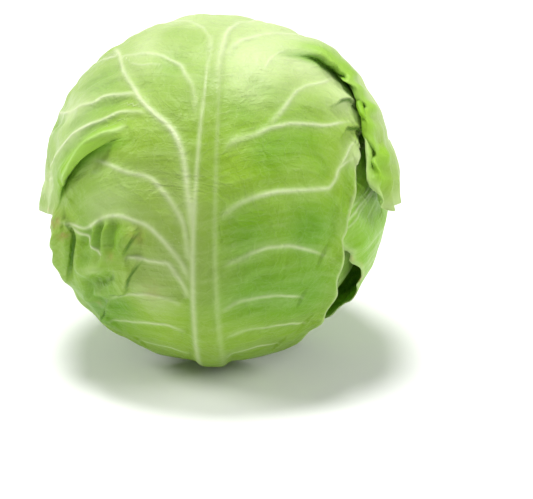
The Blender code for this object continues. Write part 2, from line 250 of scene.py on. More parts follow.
bpy.ops.object.mode_set(mode="OBJECT")
for point in stem.data.vertices:
    bump = noise.noise(point.co * STEM_BUMPS_SCALE) * STEM_UNEVENNESS
    if point.co.z < STEM_BEVEL:
        point.co.z = max(point.co.z + bump * CUT_UNEVENNESS_SHARE, 0)
    if STEM_BEVEL < point.co.z < STEM_HEIGHT - STEM_BEVEL:
        scar = min(abs(point.co.z - height) for height in STEM_SCARS)
        dent = SCAR_DEPTH * math.exp(-(scar / SCAR_HALF_WIDTH) ** 2)
        shrink = 1 - (dent + abs(bump)) / STEM_RADIUS
        point.co.x *= shrink
        point.co.y *= shrink
bpy.ops.object.shade_smooth_by_angle(angle=math.radians(40))
stem.data.materials.append(stem_finish())
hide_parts("stem")
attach(stem, "root")

# The heart: the hard white-green ball of unopened leaves inside the wrappers. It grows as one
# tight bud, each leaf lapping the next round the stem, and hardly shows from outside.
LEAF_MIDDLE_LATITUDE = math.radians(10)
UNDERSIDE_BLEND = 1.5 * MM
LEAST_DOWN = 0.05
LEAF_REST_LIFT = 1.2 * MM
# Where the head is sunk (below 0) or fuller: place on the map, width in degrees, height
HEAD_DENTS = [(-72, 25, 24, -2.0 * MM), (62, 52, 22, 1.0 * MM)]
PIECE_GAP = 0.3 * MM
HEART_SCALES = 8
HEART_SCALE_STEP = 0.8 * MM
HEART_SCALE_RISE = 0.8
HEART_SCALE_EDGE = 0.06
HEART_GREEN = (0.52, 0.66, 0.22)
HEART_WHITE = (0.62, 0.72, 0.34)
HEART_ROUGHNESS = 0.45


def smooth_step(value):
    """0 below 0, 1 above 1 and an even ramp between."""
    held = np.clip(value, 0, 1)
    return held * held * (3 - 2 * held)


def direction_to_map(direction, turn):
    """Place on a leaf's map, in degrees, for a direction from the head's centre."""
    c, s = math.cos(math.radians(turn)), math.sin(math.radians(turn))
    side = direction[..., 0] * c + direction[..., 1] * s
    front = direction[..., 0] * s - direction[..., 1] * c
    ahead = front * math.cos(LEAF_MIDDLE_LATITUDE) + direction[..., 2] * math.sin(LEAF_MIDDLE_LATITUDE)
    up = direction[..., 2] * math.cos(LEAF_MIDDLE_LATITUDE) - front * math.sin(LEAF_MIDDLE_LATITUDE)
    angle = np.degrees(np.arccos(np.clip(ahead, -1, 1)))
    flat = np.maximum(np.hypot(side, up), 1e-9)
    return angle * side / flat, angle * up / flat


def layer_radius(direction, layer):
    """Distance from the head's centre to a layer's resting surface, flattened underneath."""
    x, y = direction_to_map(direction, 0)
    radius = np.full(x.shape, HEAD_RADIUS - LEAF_REST_LIFT - layer * LEAF_SPACING)
    for dent_x, dent_y, width, depth in HEAD_DENTS:
        radius = radius + depth * np.exp(-((x - dent_x) ** 2 + (y - dent_y) ** 2) / width ** 2)
    down = np.maximum(-direction[..., 2], LEAST_DOWN)
    underside = (HEAD_CENTRE.z - UNDERSIDE_Z - layer * LEAF_SPACING) / down
    least = np.minimum(radius, underside)
    spread = np.abs(radius - underside) / UNDERSIDE_BLEND
    return least - UNDERSIDE_BLEND * np.log1p(np.exp(-spread))


def read_points(mesh):
    """A mesh's points as rows of x, y, z."""
    points = np.empty(len(mesh.vertices) * 3, np.float32)
    mesh.vertices.foreach_get("co", points)
    return points.reshape(-1, 3).astype(float)


def heart_finish():
    """Pale inner leaves, white-green in soft clouds."""
    material = bpy.data.materials.new("pale_heart")
    material.use_nodes = True
    tree = material.node_tree
    shader = tree.nodes["Principled BSDF"]
    place = add_node(tree, "ShaderNodeTexCoord")
    cloud = add_node(tree, "ShaderNodeTexNoise", Scale=28.0, Detail=3.0)
    tree.links.new(place.outputs["Object"], cloud.inputs["Vector"])
    ramp = colour_ramp(tree, [(0.3, *HEART_GREEN), (0.7, *HEART_WHITE)])
    tree.links.new(cloud.outputs["Fac"], ramp.inputs["Fac"])
    tree.links.new(ramp.outputs["Color"], shader.inputs["Base Color"])
    bump = add_node(tree, "ShaderNodeBump", Strength=0.3, Distance=1.0 * MM)
    tree.links.new(cloud.outputs["Fac"], bump.inputs["Height"])
    tree.links.new(bump.outputs[0], shader.inputs["Normal"])
    shader.inputs["Roughness"].default_value = HEART_ROUGHNESS
    return material


bpy.ops.mesh.primitive_uv_sphere_add(segments=144, ring_count=96, radius=1)
heart = bpy.context.object
heart.name = "inner_head"
direction = read_points(heart.data)
around = np.arctan2(direction[:, 1], direction[:, 0]) / (2 * math.pi)
height = np.arcsin(np.clip(direction[:, 2], -1, 1)) / math.pi
lapped = (around * HEART_SCALES * 0.5 + height * HEART_SCALES) % 1
step = smooth_step(lapped / HEART_SCALE_RISE) * smooth_step((1 - lapped) / HEART_SCALE_EDGE)
step = step * np.cos(height * math.pi) ** 2
radius = layer_radius(direction, LEAF_COUNT) + HEART_SCALE_STEP * (step - 1)
points = direction * radius[:, None]
points[:, 2] = np.maximum(points[:, 2] + HEAD_CENTRE.z, STEM_HEIGHT + PIECE_GAP)
heart.data.vertices.foreach_set("co", points.reshape(-1).astype(np.float32))
heart.data.shade_smooth()
heart.data.materials.append(heart_finish())
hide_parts("heart")
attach(heart, "root")

# The outermost leaf: one thick waxy leaf that wraps the whole front of the head. It grew round
# the bud from a broad petiole; its two upper lobes lap over the lower ones and curl at the rim.
LEAF_TURN = 137.5
LEAF_THICKNESS = 0.8 * MM
OPEN_LIFT = 1.5 * MM
COVER_MARGIN = (3.0, 12.0)
TIP_ROW = 110
BASE_ROW = -86
# The midrib: place along it in degrees, then its half width in degrees or its height in mm
RIB_HALF_WIDTHS = [(-86, 7.0), (-60, 6.0), (-20, 4.4), (30, 3.3), (62, 2.3), (90, 1.2)]
RIB_HEIGHTS = [(-86, 3.2), (-60, 2.9), (-20, 1.8), (30, 1.1), (62, 0.7), (75, 0.0)]
RIB_PLACE = 1.0
RIB_DRIFT = 1.4
RIB_LINE_PLACE = 0.80
RIB_LINE_WIDTH = 0.20
RIB_LINE_SHARES = (1.0, 0.40)
RIB_LINE_HEIGHT = 0.34 * MM
RIB_GROOVE_TURN = 9.5
RIB_GROOVE_HEIGHT = 0.07 * MM
RIB_GROOVE_REACH = 0.85
RIB_LINES_START = 6
RIB_END = 74
RIB_END_ROWS = 22
RIB_FILL = 0.4
# Rows of the front leaf: place on the midrib, where the row bends, where it meets the margin
FRONT_RIGHT_ROWS = [
    (-86, 4, -86, 11, -87), (-78, 9, -77, 21, -78), (-65, 20, -62, 38, -64),
    (-50, 30, -44, 46, -50), (-30, 34, -20, 49, -32), (-10, 38, 4, 49, -13),
    (10, 42, 27, 52, 0), (30, 50, 46, 56, 15), (45, 56, 58, 59, 26),
    (56, 61, 65, 61, 32), (60, 70, 83, 62, 3), (65, 78, 91, 69, -5),
    (72, 86, 96, 82, -9), (80, 87, 98, 95, -6), (90, 76, 102, 106, 18),
    (101, 62, 110, 105, 48), (110, 50, 116, 94, 74),
]
FRONT_LEFT_ROWS = [
    (-86, -4, -86, -11, -87), (-78, -9, -77, -21, -78), (-65, -20, -62, -42, -65),
    (-50, -30, -44, -56, -54), (-35, -36, -29, -63, -42), (-18, -37, -12, -64, -32),
    (0, -37, 6, -62, -22), (14, -38, 19, -60, -15), (23, -40, 28, -60, -11),
    (29, -46, 37, -61, -8), (37, -56, 48, -69, -8), (48, -77, 63, -84, -10),
    (60, -88, 78, -98, -6), (74, -84, 92, -106, 14), (88, -72, 103, -107, 36),
    (100, -60, 110, -102, 56), (110, -50, 116, -92, 76),
]
# Folds: side, row, shares where it starts, is full, starts to close and is closed, then lap
# and half width in degrees, and rise
FRONT_FOLDS = [
    (1, 58, 0.17, 0.45, 1.2, 1.4, 4.8, 3.5, 5.6 * MM),
    (-1, 26, 0.24, 0.50, 0.70, 0.96, 4.8, 3.5, 5.0 * MM),
]
# A fold rises before it laps: its lap grows by this power of its growth along the row
FOLD_LAP_POWER = 1.5
# Places across a fold are in half widths from its middle, above 0 on the upper lobe
FOLD_STEP_PLACE = 0.12
FOLD_STEP_SHARPNESS = 1.15
FOLD_LIP_PLACE = 1.2
FOLD_LIP_WIDTH = 0.8
FOLD_LIP_SHARE = 0.32
FOLD_CALM_PLACE = 2.0
FOLD_CALM_ROWS = 5.0
# The fold's roll is painted a saturated green for the light bounced in the fold, and the crevice under it
# painted shade
FOLD_ROLL_PLACE = 1.0
FOLD_ROLL_WIDTH = 0.8
FOLD_CREVICE_WIDTHS = (0.45, 0.50)
FOLD_CREVICE_PLACE = 0.65
# Lobes whose margin stands away from the head (above 0) or is tucked in towards it: side,
# first and last row, rise
FRONT_FLARES = [(1, 57, 96, -0.8 * MM), (-1, 36, 74, -1.2 * MM)]
FLARE_RAMP_ROWS = 14
FLARE_START = 0.70
MARGIN_START = 0.82
MARGIN_TIP_ROWS = 12
MARGIN_BASE_ROWS = 30
MARGIN_CURL = 1.0 * MM
MARGIN_WAVE = 0.7 * MM
MARGIN_WAVE_ROWS = 17.0
FRONT_ALONG = [(BASE_ROW, -40, 22), (-40, 17.25, 56), (17.25, 34.75, 40), (34.75, 49.25, 16),
               (49.25, 66.75, 42), (66.75, 98, 42), (98, TIP_ROW, 10)]
FRONT_ACROSS = [(0, 0.13, 20), (0.13, 0.6, 42), (0.6, 1, 34)]
OUTLINE_STEPS = 60

# Veins: lobe, half width and height in mm, then the places on the map that each runs through.
# Each list is drawn on its own, so that a vein may run into one of the other list.
FRONT_MAIN_VEINS = [
    ("upper", 1.5, 0.9, [(4, 38), (4, 54), (5, 58), (6, 68), (9, 75), (12, 82), (17, 86), (30, 96),
                         (48, 104)]),
    ("upper", 1.3, 0.7, [(-2, 28), (-3, 37), (-4, 42), (-7, 47), (-10, 52), (-15, 55), (-21, 57),
                         (-33, 59), (-45, 61), (-62, 64), (-85, 66)]),
    ("upper", 1.6, 1.1, [(-3, -10), (-3, 2), (-4, 9), (-5, 16), (-7, 23), (-10, 28), (-16, 33),
                         (-21, 37), (-27, 44), (-34, 52), (-39, 60), (-50, 70), (-66, 82)]),
    ("lower", 1.3, 0.9, [(-4, -21), (-5, -16), (-8, -11), (-12, -6), (-17, -2), (-21, -1), (-26, 0),
                         (-32, -1), (-37, -4), (-43, -7), (-51, -7), (-56, -6)]),
    ("lower", 1.2, 0.4, [(-6, -30), (-11, -27), (-17, -26), (-26, -28), (-36, -34)]),
    ("lower", 1.2, 0.5, [(-6, -44), (-14, -40), (-26, -42), (-40, -48)]),
    ("lower", 1.3, 0.6, [(-6, -60), (-16, -56), (-30, -58)]),
    ("lower", 1.3, 0.8, [(5, 21), (11, 25), (17, 27), (21, 29), (25, 30), (29, 31), (34, 31), (43, 31),
                         (49, 32), (61, 34)]),
    ("lower", 1.3, 0.8, [(5, 1), (8, 3), (13, 6), (19, 8), (25, 9), (33, 9), (38, 9), (42, 9), (45, 11),
                         (48, 16), (52, 18), (60, 21)]),
    ("lower", 1.3, 0.6, [(5, -15), (13, -12), (17, -10), (22, -9), (27, -9), (34, -11), (44, -16)]),
    ("lower", 1.2, 0.5, [(5, -32), (14, -28), (24, -27), (36, -31)]),
    ("lower", 1.2, 0.5, [(6, -46), (16, -42), (28, -43), (40, -48)]),
    ("lower", 1.3, 0.6, [(6, -60), (16, -56), (30, -58)]),
    ("upper", 1.1, 0.5, [(48, 83), (60, 71), (73, 61), (79, 51), (85, 38), (89, 22)]),
    ("upper", 1.0, 0.4, [(67, 89), (82, 70), (94, 46)]),
]
FRONT_SIDE_VEINS = [
    ("upper", 1.3, 0.6, [(0, 57), (0, 63), (-2, 68), (-5, 73), (-11, 79), (-17, 83), (-30, 92),
                         (-50, 100)]),
    ("upper", 1.5, 0.7, [(6, 55), (8, 59), (10, 63), (14, 67), (20, 71), (26, 74), (36, 78), (47, 84),
                         (66, 90), (88, 84)]),
    ("lower", 1.5, 0.6, [(-4, -14), (-4, -10), (-5, -2), (-8, 4), (-12, 9), (-17, 13), (-24, 14),
                         (-31, 16), (-40, 18)]),
    ("lower", 1.4, 0.6, [(-5, -27), (-5, -24), (-8, -18), (-11, -14), (-16, -14), (-21, -13),
                         (-26, -14)]),
    ("upper", 1.3, 1.5, [(-17, 34), (-22, 38), (-26, 41), (-30, 41), (-34, 41), (-38, 40), (-42, 37),
                         (-48, 36), (-53, 35), (-60, 35), (-80, 38), (-98, 40)]),
    ("upper", 1.2, 1.5, [(-17, 33), (-24, 34), (-28, 34), (-33, 31), (-37, 29), (-42, 27), (-47, 25),
                         (-50, 22), (-62, 14), (-74, 6)]),
    ("upper", 1.3, 1.3, [(-25, 30), (-29, 27), (-34, 24), (-39, 21), (-42, 18), (-46, 12), (-52, 4)]),
    ("upper", 0.9, 0.3, [(-16, 52), (-24, 52), (-32, 55)]),
    ("upper", 1.0, 0.4, [(-60, 35), (-70, 28), (-84, 24), (-100, 22)]),
    ("upper", 1.0, 0.4, [(-50, 70), (-70, 66), (-94, 58)]),
    ("upper", 1.0, 0.6, [(-58, 9), (-63, 8), (-68, 7)]),
    ("lower", 1.1, 0.9, [(-53, -6), (-47, -9), (-42, -10), (-37, -13), (-34, -16)]),
    ("upper", 1.0, 0.3, [(73, 61), (88, 58), (102, 50)]),
    ("lower", 1.2, 0.7, [(20, 29), (25, 34), (28, 38), (32, 43), (37, 46), (45, 49), (51, 53)]),
    ("lower", 0.9, 0.4, [(20, 50), (21, 52), (24, 57), (29, 61), (32, 64)]),
    ("lower", 1.1, 0.7, [(45, 10), (48, 16), (51, 20), (53, 23), (57, 26)]),
]
# Creases pressed into the leaf: lobe, half width and depth in mm, places
FRONT_CREASES = [
    ("upper", 2.8, 2.8, [(-24, 38), (-33, 37), (-42, 32), (-52, 27), (-62, 22)]),
    ("upper", 1.6, 1.8, [(-28, 39), (-36, 38), (-43, 34), (-50, 31)]),
    ("upper", 2.4, 2.6, [(-22, 32), (-34, 28), (-43, 22), (-50, 16), (-60, 6)]),
    ("upper", 2.8, 1.9, [(-33, 58), (-42, 50), (-50, 46), (-62, 44)]),
    ("upper", 2.0, 1.6, [(-31, 49), (-42, 44), (-54, 41)]),
    ("upper", 2.2, 1.5, [(-56, 32), (-66, 30), (-80, 32)]),
    ("upper", 2.4, 0.6, [(-14, 60), (-13, 52), (-9, 45)]),
    ("upper", 2.0, 0.5, [(-60, 52), (-75, 50), (-92, 50)]),
    ("upper", 1.6, 0.8, [(30, 67), (40, 63), (50, 56), (60, 44)]),
    ("lower", 2.2, 2.4, [(-27, 0), (-29, -7), (-30, -15)]),
    ("lower", 1.8, 2.6, [(-33, -1), (-35, -8), (-36, -15)]),
    ("lower", 2.4, 2.8, [(-37, -6), (-42, -10), (-46, -18)]),
    ("lower", 2.0, 2.4, [(-28, -20), (-34, -24), (-40, -29)]),
    ("lower", 2.0, 3.0, [(-34, -23), (-38, -26), (-43, -26)]),
    ("lower", 1.5, 3.4, [(-52, -6), (-50, -13), (-52, -22), (-57, -34)]),
    ("lower", 2.6, 2.2, [(-49, -28), (-42, -33), (-34, -37)]),
    ("lower", 2.0, 1.6, [(-46, -16), (-43, -18), (-38, -17)]),
    ("lower", 2.4, 0.9, [(35, 23), (40, 16), (43, 11)]),
    ("lower", 3.2, 0.7, [(14, 20), (24, 24), (34, 24)]),
    ("lower", 2.2, 0.6, [(8, 38), (13, 34), (18, 31)]),
    ("lower", 3.0, 0.6, [(24, 5), (32, 1), (38, -3)]),
    ("lower", 1.4, 0.7, [(50, 10), (50, 0), (48, -10)]),
    ("lower", 1.6, 0.5, [(12, 48), (18, 44), (26, 40)]),
    ("lower", 1.8, 0.5, [(12, -20), (22, -18), (34, -20)]),
    ("lower", 1.6, 1.1, [(53, 22), (52, 14), (49, 4), (47, -8)]),
    ("lower", 1.6, 1.0, [(47, 12), (45, 4), (43, -6), (42, -14)]),
    ("lower", 2.2, 0.7, [(28, -16), (36, -18), (44, -24)]),
    ("upper", 2.0, 1.0, [(34, 68), (44, 64), (56, 52), (64, 38)]),
    ("upper", 2.0, 0.9, [(70, 78), (78, 62), (86, 44), (90, 28)]),
]
# Ridges that no vein runs along, in the same form
FRONT_RIDGES = [
    ("upper", 1.8, 0.9, [(-38, 33), (-45, 29), (-51, 25)]),
    ("lower", 2.8, 3.8, [(-52, -22), (-44, -23), (-39, -21), (-31, -17), (-24, -13)]),
    ("lower", 2.2, 3.4, [(-51, -39), (-44, -36), (-38, -31), (-29, -30)]),
    ("lower", 3.6, 3.4, [(-54, -5), (-58, -14), (-60, -26), (-56, -40)]),
    ("upper", 2.0, 1.2, [(-26, 29), (-34, 24), (-42, 16), (-52, 2)]),
    ("lower", 1.7, 3.0, [(-34, -1), (-37, -9), (-39, -17)]),
    ("lower", 1.7, 3.0, [(-30, 0), (-33, -9), (-34, -16)]),
    ("lower", 1.4, 0.7, [(44, 8), (47, -2), (46, -12)]),
    ("lower", 1.3, 0.6, [(53, 12), (53, 3), (51, -5)]),
    ("upper", 1.4, 0.5, [(36, 70), (48, 66), (60, 54)]),
]
# Small laps, standing up on the left of their line, or on its right where the height is
# below 0: lobe, width and height in mm, places
FRONT_LAPS = [
    ("lower", 0.9, 2.8, [(44, 36), (50, 40), (55, 41), (60, 38)]),
    ("lower", 0.9, 2.8, [(47, 24), (52, 30), (56, 30), (61, 28), (66, 24)]),
    ("lower", 0.9, -2.6, [(-19, -4), (-22, -8), (-26, -14)]),
    ("lower", 0.9, -3.0, [(-18, -13), (-22, -18), (-24, -22), (-26, -29)]),
    ("lower", 0.9, -2.4, [(-24, -26), (-29, -29), (-34, -30)]),
    ("lower", 0.9, 2.8, [(-34, -32), (-39, -42), (-46, -52)]),
    ("lower", 0.9, -2.6, [(-52, -4), (-50, -12), (-52, -22), (-58, -37)]),
]
# Broad swells and dents: place, width in degrees, height
FRONT_SWELLS = [
    (-80, -8, 9, 1.4 * MM), (-22, 16, 9, 0.6 * MM), (-24, 55, 8, 0.6 * MM), (22, 16, 9, 0.6 * MM),
    (-45, -7, 6, -1.2 * MM), (-53, 31, 6, -0.8 * MM), (28, 50, 9, 0.8 * MM), (66, 30, 7, -0.8 * MM),
    (-40, -3, 6, 0.8 * MM), (18, -4, 8, 0.6 * MM), (-56, -5, 3, 1.6 * MM), (14, 36, 7, -0.7 * MM),
    (-34, 22, 6, 0.7 * MM), (-12, 20, 7, -0.5 * MM), (40, 22, 6, -0.7 * MM), (36, -4, 6, 0.8 * MM),
    (-43, -29, 3.5, -1.6 * MM),
]
# Gap between the stem and a leaf above the leaf's base
PETIOLE_GAP = 1.0 * MM
# Stretches of the map that the marks for colour run over, in degrees
ALONG_START = -90
ALONG_ROWS = 200
ROW_MARK_ROWS = 100
LAP_REACH = 7 * MM
LAP_SPREAD = 2.5
LAP_ENDS = (0.15, 0.25)
# Shares of its length over which a line fades at its start and its end
VEIN_ENDS = (0.10, 0.15)
CREASE_ENDS = (0.30, 0.35)
SLIT_ENDS = (0.25, 0.40)
# Half width in mm of the painted shade line at the foot of each lap
SLIT_HALF_WIDTH = 0.55
# How a line changes along its run: it thins, sinks, and is broader and fainter at its root
LINE_THINNING = 0.35
LINE_SINKING = 0.40
LINE_ROOT = (0.5, 0.12)
LINE_ROOT_SHOWING = (0.45, 0.45)
LINE_SHOWING = (0.25, 0.65)
# The relief of a line is broader than its colour, and its pale halo broader still
RELIEF_SPREAD = 1.3
RELIEF_HALF_WIDTH = 2.2 * MM
HALO_SPREAD = 3.2
# Half widths from a line at which its mark ends, and over which it fades there
LINE_REACH = 5
LINE_FADE = 2.5
# A line's mark gives way to a rival line's beyond this many half widths
LINE_CORE = (1.0, 1.6)
LINE_LEAD = 0.5
# Only a line this high, where it shows this much, holds the blade down between the swellings
QUILTING_RISE = 0.45
QUILTING_SHOWN = 0.3
QUILT_HEIGHT = 1.3 * MM
QUILT_REACH = 10 * MM
QUILT_LEVEL = 0.6
QUILT_RIB_GAP = (1.5, 4, 5)
# Unevenness: size as a scale, height
UNEVEN_HEIGHTS = [(26, 1.0 * MM), (62, 1.0 * MM), (140, 0.5 * MM)]
UNEVEN_SHIFT = 0.7
# Painted shade along the creases, as a share of their halo
CREASE_PAINTED_SHADE = 0.75
# Painted highlight along the ridges, as a share of their halo
RIDGE_PAINTED_HIGHLIGHT = 0.3
BASE_CALM_ROWS = 20
RIM_WIDTH = 0.05
RIM_ROWS = 4
RIM_THINNING = 0.35
# Where the leaf is paler (above 0) or a deeper green (below 0), partly its own tone and partly
# painted light and shade: place, width, strength
FRONT_TONES_AND_PAINTED_LIGHT = [
    # the crown and the right upper lobe with its flap, lightened with painted light
    (40, 58, 14, 0.7), (16, 56, 13, 0.7), (30, 84, 22, 0.7), (15, 43, 8, 0.28), (52, 42, 8, 0.6),
    (92, 30, 16, 0.5), (78, 50, 18, 0.6), (88, 2, 9, 0.8), (88, 18, 12, 0.4), (-20, 86, 26, 0.5),
    (-6, 66, 5, -0.5), (-16, 68, 6, -0.4),
    # the left upper lobe
    (-24, 56, 9, 0.3), (-28, 62, 7, 0.3), (-45, 46, 9, 0.3), (-55, 34, 15, 0.75), (-66, 5, 10, 0.7),
    (-44, 22, 8, 0.4), (-77, -4, 5, -1.0),
    # the lower lobes, left of the midrib, with painted shade low down
    (-5, 4, 6, 0.2), (-36, 0, 6, 0.2), (-28, 5, 10, 0.3), (-18, -26, 9, 0.35), (-38, -20, 5, 0.3),
    (-46, -30, 5, 0.2), (-62, -22, 5, -0.3), (-43, -29, 3, -0.7), (-30, -34, 7, -0.9),
    (-26, -9, 6, -0.5), (-38, -12, 6, -0.4), (-42, -44, 12, -1.3),
    # and right of it, most of them painted shadow
    (56, 20, 6, 0.6), (14, -3, 10, -0.95), (34, 25, 7, -0.6), (20, 21, 7, -0.7), (35, -4, 9, -1.2),
    (14, -24, 13, -1.1), (36, -28, 15, -1.2),
]
TONE_LIMITS = (-1.3, 0.95)
# Where the waxy bloom is thickest: place, width, strength
BLOOM_SPOTS = [(-9, -14, 15, 1.0), (-12, 12, 13, 0.8), (-6, 34, 10, 0.35), (6, -20, 8, 0.2)]
# Where the leaf has dried and browned: place, width, strength
BROWN_SPOTS = [(-57, -7, 3.0, 1.0), (-53, -12, 1.8, 0.9), (-20, -6, 3, 0.35), (-16, -24, 4, 0.30),
               (-30, -14, 1.5, 0.5), (-41, -38, 1.6, 0.5)]
# Frills of the margin: side, first and last row, rows to a frill, height
RIM_FRILLS = [(1, 57, 84, 4.4, 2.2 * MM), (-1, 30, 60, 9.0, 0.8 * MM), (1, 84, 110, 8.0, 0.8 * MM)]
FRILL_START = 0.72
FRILL_ROWS = (3, 8)
# How far the margin is drawn in: share of the rows, where it starts, and its waves as rows to
# a radian and strength; the flap's row, its reach in rows and its wave
MARGIN_TRIM = 0.025
TRIM_START = 0.6
TRIM_WAVES = [(2.3, 0.3), (1.5, 0.2)]
FLAP_TRIM = 0.045
FLAP_ROW = 78
FLAP_ROWS = 9
FLAP_WAVE = (1.8, 0.3)
# The right fold's lip wanders towards the margin: amount in rows, and its two wavelengths
LIP_WANDER = 1.6
LIP_WANDER_START = (0.40, 0.30)
LIP_WAVES = (0.17, 0.071)
LIP_RIPPLE = 1.2 * MM
LIP_RIPPLE_START = (0.50, 0.20)
LIP_RIPPLE_PLACE = (0.8, 1.2)


def smooth_curve(places, knots, values):
    """Smooth curve through given values that never overshoots between them."""
    knots = np.asarray(knots, float)
    values = np.asarray(values, float)
    step = np.diff(knots)
    slope = np.diff(values) / step
    product = slope[:-1] * slope[1:]
    total = slope[:-1] + slope[1:]
    middle = np.where(product > 0, 2 * product / np.where(product > 0, total, 1), 0)
    tangent = np.concatenate([slope[:1], middle, slope[-1:]])
    left = np.clip(np.searchsorted(knots, places) - 1, 0, len(knots) - 2)
    part = np.clip((places - knots[left]) / step[left], 0, 1)
    rise = values[left + 1] - values[left]
    start = tangent[left] * step[left]
    end = tangent[left + 1] * step[left]
    return values[left] + part * (start + part * (3 * rise - 2 * start - end
                                                  + part * (start + end - 2 * rise)))


def fold_growth(fold, share):
    """0 where a fold hasn't opened yet or has closed again along a row, 1 where it is full."""
    _, _, start, full, wane, closed, _, _, _ = fold
    opened = smooth_step((share - start) / (full - start))
    return opened * smooth_step((closed - share) / (closed - wane))


def fold_place(fold, share, row):
    """Place across a fold in half widths from its middle; the right one's lip wanders."""
    side, fold_row, _, _, _, _, _, half, _ = fold
    waves = sum(np.sin(2 * math.pi * share / wave + wave) / (1 + index)
                for index, wave in enumerate(LIP_WAVES))
    start, ramp = LIP_WANDER_START
    wander = LIP_WANDER * waves * smooth_step((share - start) / ramp) * (side > 0)
    return (row - fold_row - wander) / half


def grid_lines(stretches):
    """Places of the grid lines along stretches that are each evenly divided."""
    lines = [stretches[0][0]]
    for start, end, steps in stretches:
        lines.extend(start + (end - start) * (index + 1) / steps for index in range(steps))
    return np.array(lines)


def map_to_direction(x, y, turn):
    """Direction from the head's centre for a place on a leaf's map, the leaf turned about Z."""
    angle = np.radians(np.hypot(x, y))
    around = np.arctan2(y, x)
    ahead = np.cos(angle)
    side = np.sin(angle) * np.cos(around)
    up = np.sin(angle) * np.sin(around)
    front = ahead * math.cos(LEAF_MIDDLE_LATITUDE) - up * math.sin(LEAF_MIDDLE_LATITUDE)
    height = ahead * math.sin(LEAF_MIDDLE_LATITUDE) + up * math.cos(LEAF_MIDDLE_LATITUDE)
    c, s = math.cos(math.radians(turn)), math.sin(math.radians(turn))
    return np.stack([side * c + front * s, side * s - front * c, height], axis=-1)


class Leaf:
    """One leaf: its layer, its turn round the stem and the rows of its two halves."""

    def __init__(self, layer, right_rows, left_rows, folds, flares, along, across):
        self.layer = layer
        self.turn = LEAF_TURN * layer
        self.rows = {1: np.array(right_rows, float), -1: np.array(left_rows, float)}
        self.folds = folds
        self.flares = flares
        self.along = grid_lines(along)
        half = grid_lines(across)
        self.across = np.concatenate([-half[:0:-1], half])

    def tip(self):
        return self.along[-1]

    def half_on_map(self, side, share, row):
        """Map places on one half, with the rows bent and the folds lapped."""
        table = self.rows[side]
        bend_x, bend_y, margin_x, margin_y = (
            smooth_curve(row, table[:, 0], table[:, column]) for column in range(1, 5))
        before, between, after = (1 - share) ** 2, 2 * share * (1 - share), share ** 2
        x = between * bend_x + after * margin_x
        y = before * row + between * bend_y + after * margin_y
        run_x = (1 - share) * bend_x + share * (margin_x - bend_x)
        run_y = (1 - share) * (bend_y - row) + share * (margin_y - bend_y)
        run = np.hypot(run_x, run_y)
        for fold in self.folds:
            fold_side, _, _, _, _, _, lap, _, _ = fold
            if fold_side == side:
                place = fold_place(fold, share, row)
                growth = fold_growth(fold, share) ** FOLD_LAP_POWER
                shift = -lap * place * np.exp(0.5 - place ** 2 / 2) * growth
                x = x - side * shift * run_y / run
                y = y + side * shift * run_x / run
        return x, y

    def on_map(self, along, across):
        """Map places of a grid, with each point's share of its row and its row."""
        row, across = np.meshgrid(along, across, indexing="ij")
        share = np.abs(self.trimmed(across, row))
        right = self.half_on_map(1, share, row)
        left = self.half_on_map(-1, share, row)
        x = np.where(across >= 0, right[0], left[0])
        y = np.where(across >= 0, right[1], left[1])
        return x, y, across, row

    def trimmed(self, across, row):
        """Shares of the rows with the margin drawn in here and there, so that it runs unevenly."""
        rim = smooth_step((np.abs(across) - TRIM_START) / (1 - TRIM_START)) ** 2
        (long, high), (short, low) = TRIM_WAVES
        waves = 0.5 + high * np.sin(row / long + 2 * self.layer) + low * np.sin(row / short + self.layer)
        rows, depth = FLAP_WAVE
        flap = np.exp(-((row - FLAP_ROW) / FLAP_ROWS) ** 2) * (1 + depth * np.sin(row / rows))
        flap = flap * (across > 0) * (self.layer == 0)
        return across * (1 - rim * (MARGIN_TRIM * waves + FLAP_TRIM * flap))

    def outline(self):
        """Closed outline of the leaf on its map."""
        x, y, _, _ = self.on_map(np.linspace(BASE_ROW, self.tip(), OUTLINE_STEPS),
                                 np.linspace(-1, 1, OUTLINE_STEPS + 1))
        grid = np.stack([x, y], axis=-1)
        return np.concatenate([grid[:, -1], grid[-1, ::-1], grid[::-1, 0], grid[0]])


def distance_outside(points, outline):
    """Distance from each point to a closed outline, below 0 for a point inside it."""
    start = outline
    end = np.roll(outline, -1, axis=0)
    run = end - start
    length = np.maximum((run ** 2).sum(axis=1), 1e-9)
    offset = points[:, None, :] - start
    share = np.clip((offset * run).sum(axis=2) / length, 0, 1)
    nearest = np.linalg.norm(offset - share[..., None] * run, axis=2).min(axis=1)
    rise = np.where(np.abs(run[:, 1]) < 1e-9, 1e-9, run[:, 1])
    level = (start[:, 1] > points[:, None, 1]) != (end[:, 1] > points[:, None, 1])
    crossing = start[:, 0] + run[:, 0] * (points[:, None, 1] - start[:, 1]) / rise
    inside = (level & (points[:, None, 0] < crossing)).sum(axis=1) % 2 == 1
    return np.where(inside, -nearest, nearest)


def uncovered(direction, outer_leaves):
    """1 where no outer leaf covers a place, 0 under one, with a ramp beyond its margin."""
    share = np.ones(direction.shape[:-1])
    near, far = COVER_MARGIN
    for leaf in outer_leaves:
        x, y = direction_to_map(direction, leaf.turn)
        points = np.stack([x.ravel(), y.ravel()], axis=1)
        outline = leaf.outline()
        gap = np.concatenate([distance_outside(part, outline) for part in np.array_split(points, 24)])
        share = share * smooth_step((gap.reshape(x.shape) - near) / (far - near))
    return share


def smooth_line(points):
    """Points along a smooth line through given places on the map."""
    points = np.array(points, float)
    places = np.arange(len(points))
    fine = np.linspace(0, len(points) - 1, (len(points) - 1) * 5 + 1)
    return np.stack([smooth_curve(fine, places, points[:, axis]) for axis in (0, 1)], axis=1)


